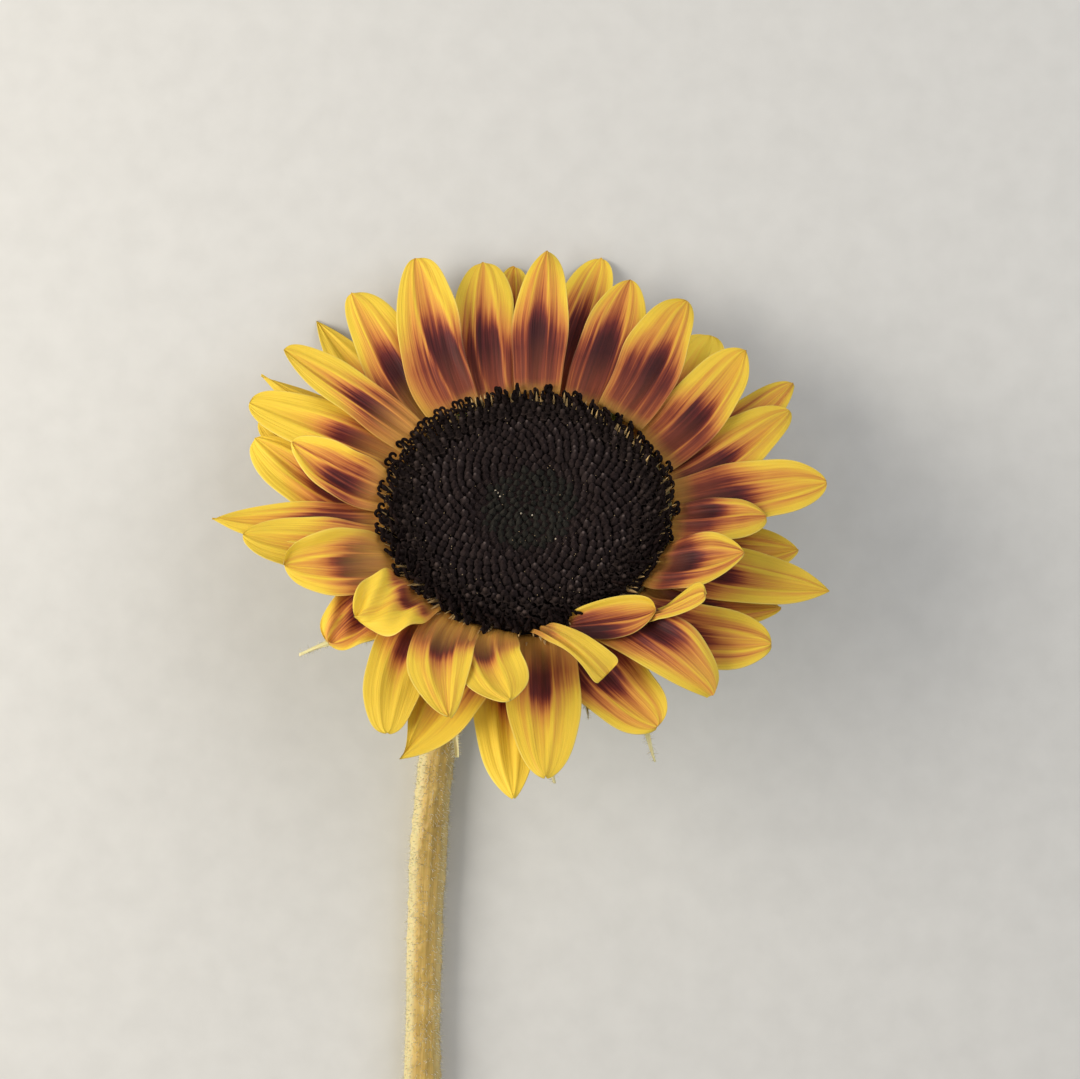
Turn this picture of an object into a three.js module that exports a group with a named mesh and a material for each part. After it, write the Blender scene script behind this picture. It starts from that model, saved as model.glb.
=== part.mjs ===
// A cut sunflower: one two-coloured bloom on a hand's length of stem, lying face up on the floor.
// Millimetres, +Z up. The stem lies towards -Y, and the face leans towards +Y.
import * as THREE from 'three';

// Driving dimensions of the bloom, measured from the centre of its disc
const DISC_RADIUS = 28;
const DISC_HEIGHT = 5;
const DISC_FOOT = -2.9;
const HEAD_DEPTH = 17;
const HEAD_RADIUS = 29.4;
const HEAD_LIP = 4.2;
const NECK_SOCKET_RADIUS = 5.6;
const GAP = 0.3;

// How the bloom lies: its face leans away from the vertical, and the lean is turned a little to the left
const LEAN = THREE.MathUtils.degToRad(33);
const TURN = THREE.MathUtils.degToRad(6);

// Ray petals: where they sit on the head, and how the whorls stand one above the other
const RAY_SEAT_RADIUS = 28.4;
const RAY_THICKNESS = 0.5;
const RAY_SEAT_HEIGHT = -2.5;
const WHORL_STEP = 1.1;
const WHORL_SPREAD = 0.06;
const BOWL_SLOPE = 0.05;
const BOWL_SLOPE_TOP = 0.08;
const RAY_CURL = THREE.MathUtils.degToRad(18);

// Blades are cut into rows that stand closer together towards the tip
const TIP_CROWDING = 1.35;
const PETAL_CELLS = { across: 4, along: 6 };
const BRACT_CELLS = { across: 2, along: 6 };
const UP = new THREE.Vector3(0, 0, 1);

// Bracts: the green hairy leaves behind the petals, whose tips swing a little to either side in turn
const BRACT_COUNT = 13;
const BRACT_FIRST = 211;
const BRACT_WIDTH = 9.5;
const BRACT_THICKNESS = 0.5;
const BRACT_SEAT_RADIUS = HEAD_RADIUS + GAP;
const BRACT_SEAT_HEIGHT = -5.2;
const BRACT_REACH = 50;
const BRACT_REACH_SWING = 5;
const BRACT_RISE = -9;
const BRACT_RISE_SWING = 6;
const BRACT_SWING = 6;
const BRACT_SWING_STEP = 2;
const BRACT_SWING_START = -1.2;

// Stem: one green stalk, bent over below the head and flat on the floor from there to its cut
const STEM_RADIUS = 3.75;
const NECK_RADIUS = 5;
const STEM_SIDES = 12;
const STEM_START = new THREE.Vector2(-19.8, -52);
const STEM_CUT = new THREE.Vector2(-22.8, -130);
const STEM_HEADING = new THREE.Vector2(-0.12, -0.99);
const STEM_BEND = { top: 22, cut: 26 };
const NECK_BEND = { top: 15, foot: 20 };
const NECK_TAPER = 0.6;
const LIMB_STEPS = 12;
const TURNED_SIDES = 32;

// Each petal in turn, anticlockwise from the top left. whorl: 0 is the back one, 3 the front one. seat, tip:
// clock angles in degrees, 0 at the right and 90 at the top. reach: tip to disc centre. width: at the widest.
// lift: of the tip above its whorl. arch: the same for the middle. curl: of its edges, in degrees.
// roll: of the tip about the length of the petal, in degrees, right edge down where it is positive.
const RAYS = [
  { name: 'petal_01', whorl: 3, seat: 117, tip: 109, reach: 61, width: 12.5 },
  { name: 'petal_02', whorl: 0, seat: 132, tip: 127, reach: 69, width: 9, lift: -4 },
  { name: 'petal_03', whorl: 2, seat: 127, tip: 121, reach: 63, width: 12.5 },
  { name: 'petal_04', whorl: 3, seat: 138, tip: 140, reach: 60, width: 12 },
  { name: 'petal_05', whorl: 1, seat: 144, tip: 142, reach: 66, width: 8 },
  { name: 'petal_06', whorl: 2, seat: 148, tip: 152, reach: 62, width: 12 },
  { name: 'petal_07', whorl: 0, seat: 158, tip: 151, reach: 61, width: 12 },
  { name: 'petal_08', whorl: 3, seat: 166, tip: 160, reach: 50, width: 11, lift: 3, curl: 45, roll: -20 },
  { name: 'petal_09', whorl: 1, seat: 171, tip: 157, reach: 59, width: 13 },
  { name: 'petal_10', whorl: 2, seat: 179, tip: 179, reach: 63, width: 11 },
  { name: 'petal_11', whorl: 1, seat: 190, tip: 182, reach: 57, width: 12 },
  { name: 'petal_12', whorl: 3, seat: 199, tip: 193, reach: 50, width: 14, lift: 2, arch: 2, roll: -20 },
  { name: 'petal_13', whorl: 1, seat: 208, tip: 211, reach: 50, width: 13 },
  { name: 'petal_14', whorl: 3, seat: 214, tip: 220, reach: 45, width: 13, lift: 10, roll: -20 },
  { name: 'petal_15', whorl: 2, seat: 224, tip: 237, reach: 57, width: 12 },
  { name: 'petal_16', whorl: 3, seat: 233, tip: 246, reach: 54, width: 12.5, lift: 7 },
  { name: 'petal_17', whorl: 1, seat: 245, tip: 241, reach: 58, width: 14.5 },
  { name: 'petal_18', whorl: 3, seat: 250, tip: 262, reach: 50, width: 12, lift: 9 },
  { name: 'petal_19', whorl: 0, seat: 257, tip: 263, reach: 62, width: 12 },
  { name: 'petal_20', whorl: 2, seat: 269, tip: 268, reach: 61, width: 14 },
  { name: 'petal_21', whorl: 3, seat: 272, tip: 286, reach: 48, width: 11, lift: 12, roll: -35 },
  { name: 'petal_22', whorl: 1, seat: 283, tip: 291, reach: 58, width: 14 },
  { name: 'petal_23', whorl: 0, seat: 291, tip: 304, reach: 55, width: 13 },
  { name: 'petal_24', whorl: 3, seat: 289, tip: 302, reach: 43, width: 10, lift: 15, arch: 5, roll: -15 },
  { name: 'petal_25', whorl: 2, seat: 302, tip: 318, reach: 58, width: 13 },
  { name: 'petal_26', whorl: 3, seat: 308, tip: 312, reach: 46, width: 9, lift: 13, roll: -35 },
  { name: 'petal_27', whorl: 0, seat: 317, tip: 330, reach: 54, width: 9 },
  { name: 'petal_28', whorl: 3, seat: 325, tip: 331, reach: 46, width: 14, lift: 8, arch: 1, roll: 12 },
  { name: 'petal_29', whorl: 1, seat: 331, tip: 335, reach: 62, width: 12 },
  { name: 'petal_30', whorl: 0, seat: 340, tip: 344, reach: 54, width: 12 },
  { name: 'petal_31', whorl: 3, seat: 346, tip: 348, reach: 47, width: 10 },
  { name: 'petal_32', whorl: 2, seat: 356, tip: 357, reach: 59, width: 14 },
  { name: 'petal_33', whorl: 1, seat: 8, tip: 16, reach: 57, width: 13 },
  { name: 'petal_34', whorl: 0, seat: 15, tip: 22, reach: 61, width: 11 },
  { name: 'petal_35', whorl: 2, seat: 24, tip: 32, reach: 56, width: 13 },
  { name: 'petal_36', whorl: 0, seat: 35, tip: 41, reach: 57, width: 11 },
  { name: 'petal_37', whorl: 3, seat: 45, tip: 49, reach: 56, width: 13 },
  { name: 'petal_38', whorl: 2, seat: 61, tip: 63, reach: 57, width: 12 },
  { name: 'petal_39', whorl: 0, seat: 72, tip: 70, reach: 65, width: 12.5 },
  { name: 'petal_40', whorl: 3, seat: 82, tip: 81, reach: 59, width: 12 },
  { name: 'petal_41', whorl: 0, seat: 92, tip: 88, reach: 62, width: 11, lift: 0.7 },
  { name: 'petal_42', whorl: 2, seat: 102, tip: 95, reach: 59, width: 12 },
];

function finish(color, roughness) {
  return new THREE.MeshStandardMaterial({ color, roughness, metalness: 0 });
}

function onClock(degrees, radius) {
  const angle = THREE.MathUtils.degToRad(degrees);
  return new THREE.Vector2(Math.cos(angle) * radius, Math.sin(angle) * radius);
}

// The height of a whorl above the plane of the disc, a shallow bowl that opens most at the top
function whorlHeight(whorl, clock, radius) {
  const slope = BOWL_SLOPE + BOWL_SLOPE_TOP * Math.sin(THREE.MathUtils.degToRad(clock));
  const seat = RAY_SEAT_HEIGHT + WHORL_STEP * whorl;
  return seat + (radius - RAY_SEAT_RADIUS) * (slope + WHORL_SPREAD * whorl);
}

// A petal, half its outline: a narrow claw, widest at the middle, and a blunt pointed tip
function petalOutline(v) {
  const claw = 0.46;
  const widest = 0.5;
  const tip = 0.15;
  if (v < widest) {
    return claw + (1 - claw) * Math.sin((v / widest) * (Math.PI / 2));
  }
  const past = (v - widest) / (1 - widest);
  return Math.max(tip, Math.pow(1 - Math.pow(past, 2.3), 0.62));
}

// A bract, half its outline: broad at its foot, and drawn out into a long thin point
function bractOutline(v) {
  const foot = 0.75;
  const widest = 0.22;
  const tip = 0.1;
  if (v < widest) {
    return foot + (1 - foot) * Math.sin((v / widest) * (Math.PI / 2));
  }
  const past = (v - widest) / (1 - widest);
  return Math.max(tip, Math.pow(1 - past, 1.3));
}

// The run of a blade from its seat to its tip: it leaves the head straight out and then swings to its tip
function bladeRun(blade) {
  const leave = 0.35;
  const settle = 0.45;
  const start = onClock(blade.seat, blade.seatRadius);
  const end = onClock(blade.tip, blade.reach);
  const length = start.distanceTo(end);
  const afterStart = onClock(blade.seat, blade.seatRadius + length * leave);
  const beforeEnd = end.clone().lerp(afterStart, settle);
  const at = (point, height) => new THREE.Vector3(point.x, point.y, height);
  const rise = blade.tipHeight - blade.seatHeight;
  return new THREE.CubicBezierCurve3(
    at(start, blade.seatHeight),
    at(afterStart, blade.seatHeight + rise * leave + blade.arch),
    at(beforeEnd, blade.seatHeight + rise * leave * 2 + blade.arch),
    at(end, blade.tipHeight),
  );
}

// A closed blade: a grid of points on its face, the same grid a thickness below, and a rim between the two
function bladeGeometry(blade, outline, { across, along }) {
  const run = bladeRun(blade);
  const faces = { top: [], bottom: [] };
  for (let row = 0; row <= along; row += 1) {
    const v = 1 - Math.pow(1 - row / along, TIP_CROWDING);
    const centre = run.getPoint(v);
    const tangent = run.getTangent(v);
    const side = new THREE.Vector3().crossVectors(tangent, UP).normalize();
    side.applyAxisAngle(tangent, blade.roll * Math.sin(v * (Math.PI / 2)));
    const normal = new THREE.Vector3().crossVectors(side, tangent).normalize();
    const half = (blade.width / 2) * outline(v);
    for (let column = 0; column <= across; column += 1) {
      const turn = blade.curl * (column / across * 2 - 1);
      const middle = centre.clone()
        .addScaledVector(side, half * Math.sin(turn) / blade.curl)
        .addScaledVector(normal, half * (1 - Math.cos(turn)) / blade.curl);
      const facing = normal.clone().multiplyScalar(Math.cos(turn)).addScaledVector(side, -Math.sin(turn));
      faces.top.push(middle.clone().addScaledVector(facing, blade.thickness / 2));
      faces.bottom.push(middle.clone().addScaledVector(facing, -blade.thickness / 2));
    }
  }
  return shellGeometry(faces, across, along);
}

function shellGeometry(faces, across, along) {
  const count = (across + 1) * (along + 1);
  const top = (row, column) => row * (across + 1) + column;
  const bottom = (row, column) => top(row, column) + count;
  const index = [];
  const quad = (a, b, c, d) => index.push(a, b, c, a, c, d);
  for (let row = 0; row < along; row += 1) {
    for (let column = 0; column < across; column += 1) {
      const next = column + 1;
      quad(top(row, column), top(row, next), top(row + 1, next), top(row + 1, column));
      quad(bottom(row, column), bottom(row + 1, column), bottom(row + 1, next), bottom(row, next));
    }
    quad(top(row, 0), top(row + 1, 0), bottom(row + 1, 0), bottom(row, 0));
    quad(top(row, across), bottom(row, across), bottom(row + 1, across), top(row + 1, across));
  }
  for (let column = 0; column < across; column += 1) {
    quad(top(0, column), bottom(0, column), bottom(0, column + 1), top(0, column + 1));
    quad(top(along, column), top(along, column + 1), bottom(along, column + 1), bottom(along, column));
  }
  const geometry = new THREE.BufferGeometry();
  geometry.setFromPoints([...faces.top, ...faces.bottom]);
  geometry.setIndex(index);
  return geometry;
}

// A round limb along a curve, with a flat face at each end and a flat side underneath
function limbGeometry(curve, radiusAt) {
  const points = [];
  for (let step = 0; step <= LIMB_STEPS; step += 1) {
    const centre = curve.getPointAt(step / LIMB_STEPS);
    const tangent = curve.getTangentAt(step / LIMB_STEPS);
    const side = new THREE.Vector3().crossVectors(tangent, UP).normalize();
    const rise = new THREE.Vector3().crossVectors(side, tangent);
    const radius = radiusAt(step / LIMB_STEPS);
    for (let k = 0; k < STEM_SIDES; k += 1) {
      const angle = ((k + 0.5) / STEM_SIDES) * Math.PI * 2;
      points.push(centre.clone()
        .addScaledVector(side, Math.sin(angle) * radius)
        .addScaledVector(rise, Math.cos(angle) * radius));
    }
  }
  const index = [];
  const at = (step, k) => step * STEM_SIDES + (k % STEM_SIDES);
  for (let step = 0; step < LIMB_STEPS; step += 1) {
    for (let k = 0; k < STEM_SIDES; k += 1) {
      index.push(at(step, k), at(step, k + 1), at(step + 1, k + 1));
      index.push(at(step, k), at(step + 1, k + 1), at(step + 1, k));
    }
  }
  for (let k = 1; k < STEM_SIDES - 1; k += 1) {
    index.push(at(0, 0), at(0, k + 1), at(0, k));
    index.push(at(LIMB_STEPS, 0), at(LIMB_STEPS, k), at(LIMB_STEPS, k + 1));
  }
  const geometry = new THREE.BufferGeometry();
  geometry.setFromPoints(points);
  geometry.setIndex(index);
  return geometry;
}

// Turned pieces: their profiles run from the axis out and back, and the axis is stood up along +Z
function turned(profile) {
  const points = profile.map(([radius, height]) => new THREE.Vector2(radius, height));
  return new THREE.LatheGeometry(points, TURNED_SIDES).rotateX(Math.PI / 2);
}

function petal(ray) {
  const lift = ray.lift ?? 0;
  const blade = {
    seat: ray.seat,
    tip: ray.tip,
    reach: ray.reach,
    width: ray.width,
    seatRadius: RAY_SEAT_RADIUS,
    thickness: RAY_THICKNESS,
    seatHeight: whorlHeight(ray.whorl, ray.seat, RAY_SEAT_RADIUS),
    tipHeight: whorlHeight(ray.whorl, ray.tip, ray.reach) + lift,
    arch: ray.arch ?? 0,
    roll: THREE.MathUtils.degToRad(ray.roll ?? 0),
    curl: ray.curl ? THREE.MathUtils.degToRad(ray.curl) : RAY_CURL,
  };
  const mesh = new THREE.Mesh(bladeGeometry(blade, petalOutline, PETAL_CELLS), finish('#dba52c', 0.55));
  mesh.name = ray.name;
  return mesh;
}

function bract(number) {
  const seat = BRACT_FIRST + (number * 360) / BRACT_COUNT;
  const up = Math.sin(THREE.MathUtils.degToRad(seat));
  const blade = {
    seat,
    tip: seat + BRACT_SWING * Math.sin(BRACT_SWING_START + BRACT_SWING_STEP * number),
    reach: BRACT_REACH - BRACT_REACH_SWING * up,
    width: BRACT_WIDTH,
    seatRadius: BRACT_SEAT_RADIUS,
    thickness: BRACT_THICKNESS,
    seatHeight: BRACT_SEAT_HEIGHT,
    tipHeight: BRACT_RISE + BRACT_RISE_SWING * up,
    arch: 0,
    roll: 0,
    curl: RAY_CURL,
  };
  const mesh = new THREE.Mesh(bladeGeometry(blade, bractOutline, BRACT_CELLS), finish('#7f8f3a', 0.8));
  mesh.name = `bract_${String(number + 1).padStart(2, '0')}`;
  return mesh;
}

function disc() {
  const profile = [
    [0, DISC_FOOT],
    [DISC_RADIUS, DISC_FOOT],
    [DISC_RADIUS, DISC_HEIGHT * 0.5],
    [DISC_RADIUS * 0.96, DISC_HEIGHT * 0.84],
    [DISC_RADIUS * 0.85, DISC_HEIGHT],
    [DISC_RADIUS * 0.6, DISC_HEIGHT * 0.9],
    [DISC_RADIUS * 0.3, DISC_HEIGHT * 0.72],
    [0, DISC_HEIGHT * 0.66],
  ];
  const mesh = new THREE.Mesh(turned(profile), finish('#2a1d18', 0.9));
  mesh.name = 'disc';
  return mesh;
}

// The back of the head: a short lip that carries the bracts, and a shallow funnel down to the neck
function headBack() {
  const top = DISC_FOOT - GAP;
  const profile = [
    [0, -HEAD_DEPTH],
    [NECK_SOCKET_RADIUS, -HEAD_DEPTH],
    [HEAD_RADIUS * 0.36, -HEAD_DEPTH * 0.86],
    [HEAD_RADIUS * 0.64, -HEAD_DEPTH * 0.68],
    [HEAD_RADIUS * 0.88, -HEAD_DEPTH * 0.53],
    [HEAD_RADIUS, top - HEAD_LIP],
    [HEAD_RADIUS, top],
    [0, top],
  ];
  const mesh = new THREE.Mesh(turned(profile), finish('#8c9a45', 0.75));
  mesh.name = 'head_back';
  return mesh;
}

// The bloom stands on the tips of its far petals: the head is raised until the lowest one is on the floor
const head = new THREE.Group();
head.add(disc(), headBack());
RAYS.forEach((ray) => head.add(petal(ray)));
for (let number = 0; number < BRACT_COUNT; number += 1) {
  head.add(bract(number));
}
head.rotation.set(-LEAN, 0, TURN, 'ZYX');
head.updateMatrixWorld(true);
head.position.z = -new THREE.Box3().setFromObject(head, true).min.z;
head.updateMatrixWorld(true);

// The neck leaves the head along its axis and bends over into the stem
const stemHeight = STEM_RADIUS * Math.cos(Math.PI / STEM_SIDES);
const neckTop = new THREE.Vector3(0, 0, -HEAD_DEPTH - GAP).applyMatrix4(head.matrixWorld);
const backwards = new THREE.Vector3(0, 0, -1).transformDirection(head.matrixWorld);
const heading = new THREE.Vector3(STEM_HEADING.x, STEM_HEADING.y, 0).normalize();
const neckFoot = new THREE.Vector3(STEM_START.x, STEM_START.y, stemHeight);
const neckCurve = new THREE.CubicBezierCurve3(
  neckTop,
  neckTop.clone().addScaledVector(backwards, NECK_BEND.top),
  neckFoot.clone().addScaledVector(heading, -NECK_BEND.foot),
  neckFoot,
);
const neckRadius = (t) => THREE.MathUtils.lerp(NECK_RADIUS, STEM_RADIUS, Math.min(1, t / NECK_TAPER));
const neck = new THREE.Mesh(limbGeometry(neckCurve, neckRadius), finish('#a9a552', 0.7));
neck.name = 'neck';

const stemTop = neckFoot.clone().addScaledVector(heading, GAP);
const stemCut = new THREE.Vector3(STEM_CUT.x, STEM_CUT.y, stemHeight);
const stemCurve = new THREE.CubicBezierCurve3(
  stemTop,
  stemTop.clone().addScaledVector(heading, STEM_BEND.top),
  stemCut.clone().add(new THREE.Vector3(0, STEM_BEND.cut, 0)),
  stemCut,
);
const stem = new THREE.Mesh(limbGeometry(stemCurve, () => STEM_RADIUS), finish('#c2ab58', 0.7));
stem.name = 'stem';

// The origin is on the floor, under the middle of the whole flower
const sunflower = new THREE.Group();
sunflower.add(head, neck, stem);
sunflower.updateMatrixWorld(true);
const extent = new THREE.Box3().setFromObject(sunflower, true);
const middle = extent.getCenter(new THREE.Vector3());
sunflower.position.set(-middle.x, -middle.y, -extent.min.z);

export default sunflower;
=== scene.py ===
# %% [markdown]
# # A cut sunflower, grown from its own measurements
# The flower is one two-coloured bloom on a short length of stem, lying face up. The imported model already
# holds every petal and bract as a plain solid, so each cell below grows the fine surface of one kind of
# part in the same place. Everything is in the model's own frame: millimetres in the numbers, metres in the
# meshes.

# %% Load the frame
import math

import bpy
import numpy as np
from mathutils import Matrix, Vector


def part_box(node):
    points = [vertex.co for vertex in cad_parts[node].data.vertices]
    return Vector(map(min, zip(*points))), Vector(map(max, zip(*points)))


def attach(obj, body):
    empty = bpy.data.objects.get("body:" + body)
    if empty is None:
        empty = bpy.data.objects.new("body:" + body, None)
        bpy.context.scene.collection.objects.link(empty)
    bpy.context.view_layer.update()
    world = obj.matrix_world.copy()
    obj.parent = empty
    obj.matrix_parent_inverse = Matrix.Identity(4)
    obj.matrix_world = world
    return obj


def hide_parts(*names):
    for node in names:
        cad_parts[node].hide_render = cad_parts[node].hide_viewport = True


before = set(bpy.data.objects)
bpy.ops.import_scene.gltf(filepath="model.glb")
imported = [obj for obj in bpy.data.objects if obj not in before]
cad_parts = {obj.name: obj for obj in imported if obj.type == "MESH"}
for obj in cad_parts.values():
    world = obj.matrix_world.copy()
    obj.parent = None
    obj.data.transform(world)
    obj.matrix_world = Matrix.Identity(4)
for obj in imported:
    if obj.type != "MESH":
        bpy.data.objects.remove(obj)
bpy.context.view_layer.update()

MM = 0.001
AROUND = 2 * math.pi
print("nodes in the frame:", len(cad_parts))

# %% [markdown]
# ## Where the bloom is, and how it leans
# A bloom is easiest to build round its own axis: x to the right, y up the face, z out of the disc. One turn
# then lays it down in the frame, leaning 33 degrees from upright and swung a little to the left, as it does
# in the solids. The alternative, building every petal straight in place, would bury the simple shapes in
# angles.

# %% The head's own axes
HEAD_CENTRE = Vector((2.22, 37.37, 31.89))
LEAN = math.radians(33)
TURN = math.radians(6)
HEAD_AXES = np.array(Matrix.Rotation(TURN, 3, "Z") @ Matrix.Rotation(-LEAN, 3, "X"))
low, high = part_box("disc")
print("disc box, mm:", [round(c / MM, 1) for c in low], [round(c / MM, 1) for c in high])


def to_frame(points):
    """Points of the head, in mm round its own axis, as points of the frame in mm."""
    return points @ HEAD_AXES.T + np.array(HEAD_CENTRE)


# %% [markdown]
# ## Camera, light and floor
# The photograph looks along the ground at a bloom on an upright stem. This one lies down, so the same view
# is from straight above, half a metre over the disc. The lens follows from the field: 216 mm wide at the
# disc.

# %% Camera
PHOTO_WIDTH = 1080
MM_PER_PIXEL = 0.2
CAMERA_DISTANCE = 500
SENSOR = 36
VIEW_CENTRE = (2.0, -5.5)


def into_scene(name, data):
    """A new object in the scene, made of a camera, a light or a mesh."""
    made = bpy.data.objects.new(name, data)
    bpy.context.collection.objects.link(made)
    return made


camera_data = bpy.data.cameras.new("camera")
camera_data.sensor_width = SENSOR
camera_data.lens = SENSOR * CAMERA_DISTANCE / (PHOTO_WIDTH * MM_PER_PIXEL)
camera_data.clip_start = 10 * MM
camera = into_scene("camera", camera_data)
camera.location = (HEAD_CENTRE + Vector((*VIEW_CENTRE, CAMERA_DISTANCE))) * MM
bpy.context.scene.camera = camera
print("lens, mm:", round(camera_data.lens, 1))

# %% [markdown]
# Petals are told apart by their creases, and creases show in light that rakes across them. So the key light
# is a large soft panel low on the left, as the sun is in the photograph, with a weak one opposite and a dim
# pale room.

# %% Light
ROOM_COLOUR = (0.86, 0.86, 0.87, 1)
ROOM_POWER = 0.42


def soft_light(name, place, size, power, colour):
    """A square panel of light, placed and sized in metres and turned to the bloom."""
    data = bpy.data.lights.new(name, "AREA")
    data.size = size
    data.energy = power
    data.color = colour
    light = into_scene(name, data)
    light.location = place
    aim = HEAD_CENTRE * MM - light.location
    light.rotation_euler = aim.to_track_quat("-Z", "Y").to_euler()


soft_light("key", place=(-0.48, 0.06, 0.38), size=0.45, power=3.6, colour=(1.0, 0.94, 0.84))
soft_light("fill", place=(0.50, 0.25, 0.60), size=0.70, power=2.6, colour=(0.96, 0.97, 1.0))
world = bpy.data.worlds.new("studio")
world.use_nodes = True
room = world.node_tree.nodes["Background"]
room.inputs["Color"].default_value = ROOM_COLOUR
room.inputs["Strength"].default_value = ROOM_POWER
bpy.context.scene.world = world
bpy.context.scene.view_settings.view_transform = "Standard"

# %% [markdown]
# ## Helpers for materials
# One function turns an sRGB hex value into linear colour, and one adds a node with its settings and links.
# Each material below starts with new_material and ends with surface.


# %% Colour and node helpers
def linear(code):
    """An sRGB hex value such as #F2C63C as the linear colour that shaders work in."""
    values = [int(code[k:k + 2], 16) / 255 for k in (1, 3, 5)]
    return tuple(c / 12.92 if c <= 0.04045 else ((c + 0.055) / 1.055) ** 2.4 for c in values) + (1.0,)


def add(tree, kind, inputs=None, stops=(), out=0, **settings):
    """Adds one shader node and gives the output that is asked for, or with out=None the node itself.

    inputs takes values or sockets by name or number, and stops are the (place, colour) of a ramp.
    """
    made = tree.nodes.new("ShaderNode" + kind)
    for name, value in settings.items():
        setattr(made, name, value)
    for key, value in (inputs or {}).items():
        if isinstance(value, bpy.types.NodeSocket):
            tree.links.new(value, made.inputs[key])
        else:
            made.inputs[key].default_value = value
    for _ in stops[2:]:
        made.color_ramp.elements.new(1.0)
    for k, (place, code) in enumerate(stops):
        made.color_ramp.elements[k].position = place
        made.color_ramp.elements[k].color = linear(code)
    return made if out is None else made.outputs[out]


def new_material(name):
    """An empty material, and the tree to build in."""
    material = bpy.data.materials.new(name)
    material.use_nodes = True
    material.node_tree.nodes.clear()
    return material, material.node_tree


def surface(material, inputs):
    """Closes a material with one principled surface."""
    shader = add(material.node_tree, "BsdfPrincipled", inputs)
    add(material.node_tree, "OutputMaterial", {"Surface": shader}, out=None)
    return material


# %% [markdown]
# A plain pale paper sweep carries the flower. It is a stage, so it is not part of the object. Pressed paper
# is matt and even, with faint clouds where its pulp is thicker.

# %% Floor
FLOOR_HALF = 3.0
PULP_CLOUDS = 900.0  # across the whole sheet, so one is 6.7 mm wide


def paper_material():
    """Pressed paper: no gloss, and a colour and relief that hardly vary."""
    material, tree = new_material("matt_paper")
    pulp = add(tree, "TexNoise", {"Scale": PULP_CLOUDS, "Detail": 3.0})
    tone = add(tree, "ValToRGB", {0: pulp}, [(0.3, "#CFCECA"), (0.7, "#D4D3CF")])
    bump = add(tree, "Bump", {"Height": pulp, "Distance": 0.1 * MM, "Strength": 0.3})
    return surface(material, {"Base Color": tone, "Roughness": 0.9, "Normal": bump})


def paper_floor():
    """One square of paper at height 0."""
    mesh = bpy.data.meshes.new("floor")
    corners = [(x * FLOOR_HALF, y * FLOOR_HALF, 0) for x, y in ((-1, -1), (1, -1), (1, 1), (-1, 1))]
    mesh.from_pydata(corners, [], [(0, 1, 2, 3)])
    mesh.materials.append(paper_material())
    return into_scene("floor", mesh)


paper_floor()
print("floor laid, metres across:", 2 * FLOOR_HALF)

# %% [markdown]
# ## Helpers for meshes
# Every part here is a sheet, a tube or a great number of small ones, so all of them are worked out as
# arrays of points. One function turns such arrays into a piece that rides on the flower and hides the
# solids it stands in for.


# %% Mesh helpers
def piece(name, points, faces, material, replaces=(), uv=None, values=None):
    """A smooth mesh from points in mm, with a pattern map and per-point values where they are given."""
    mesh = bpy.data.meshes.new(name)
    mesh.from_pydata((points * MM).tolist(), [], faces)
    mesh.validate()
    mesh.shade_smooth()
    if uv is not None:
        layer = mesh.uv_layers.new(name="Pattern")
        corner = np.empty(len(mesh.loops), dtype=np.int32)
        mesh.loops.foreach_get("vertex_index", corner)
        layer.uv.foreach_set("vector", uv[corner].astype(np.float32).ravel())
    for key, numbers in (values or {}).items():
        layer = mesh.attributes.new(key, "FLOAT", "POINT")
        layer.data.foreach_set("value", numbers.astype(np.float32))
    mesh.materials.append(material)
    made = into_scene(name, mesh)
    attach(made, "root")
    if replaces:
        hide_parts(*replaces)


def grid_faces(rows, columns, closed=False):
    """Quads between rows of points. closed joins the last column to the first."""
    across = columns if closed else columns - 1
    row, column = np.meshgrid(np.arange(rows - 1), np.arange(across), indexing="ij")
    here = row * columns + column
    beside = row * columns + (column + 1) % columns
    return np.stack([here, beside, beside + columns, here + columns], -1).reshape(-1, 4)


def tube_faces(rows, sides, inside_out=False):
    """Faces of a tube of rings, closed by a fan at each end. The two end points come after the rings."""
    faces = grid_faces(rows, sides, closed=True).tolist()
    foot = rows * sides
    last = foot - sides
    for k in range(sides):
        after = (k + 1) % sides
        faces.append([foot, after, k])
        faces.append([foot + 1, last + k, last + after])
    return [face[::-1] for face in faces] if inside_out else faces


def unit(vectors):
    """The same directions with a length of one."""
    return vectors / np.maximum(np.linalg.norm(vectors, axis=-1, keepdims=True), 1e-9)


def polar(angle, radius, height=0.0):
    """Points round an axis from angles, radii and heights, which may be arrays."""
    return np.stack(np.broadcast_arrays(np.cos(angle) * radius, np.sin(angle) * radius, height), -1)


def spokes(along, guide, angle):
    """For each direction, spokes square to it at the angles. A tube's rings are laid out on them."""
    along = unit(along)
    side = unit(np.cross(along, guide))
    over = np.cross(side, along)
    return np.cos(angle)[:, None] * side[:, None] + np.sin(angle)[:, None] * over[:, None]


def evenly(sides):
    """Angles of evenly spaced sides, all the way round."""
    return np.arange(sides) / sides * AROUND


def smooth_step(low, high, x):
    """0 up to low, 1 from high on, and a soft rise between."""
    t = np.clip((x - low) / (high - low), 0, 1)
    return t * t * (3 - 2 * t)


def read_off(table, x):
    """Values at x, read off a table of (x, value)."""
    return np.interp(x, *zip(*table))


def bezier(points, t):
    """A cubic through four control points and its direction, at each t."""
    p = np.asarray(points, dtype=float)
    t = t[:, None]
    s = 1 - t
    place = s ** 3 * p[0] + 3 * s ** 2 * t * p[1] + 3 * s * t ** 2 * p[2] + t ** 3 * p[3]
    along = s ** 2 * (p[1] - p[0]) + 2 * s * t * (p[2] - p[1]) + t ** 2 * (p[3] - p[2])
    return place, unit(along)


print("mesh helpers ready")

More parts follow.
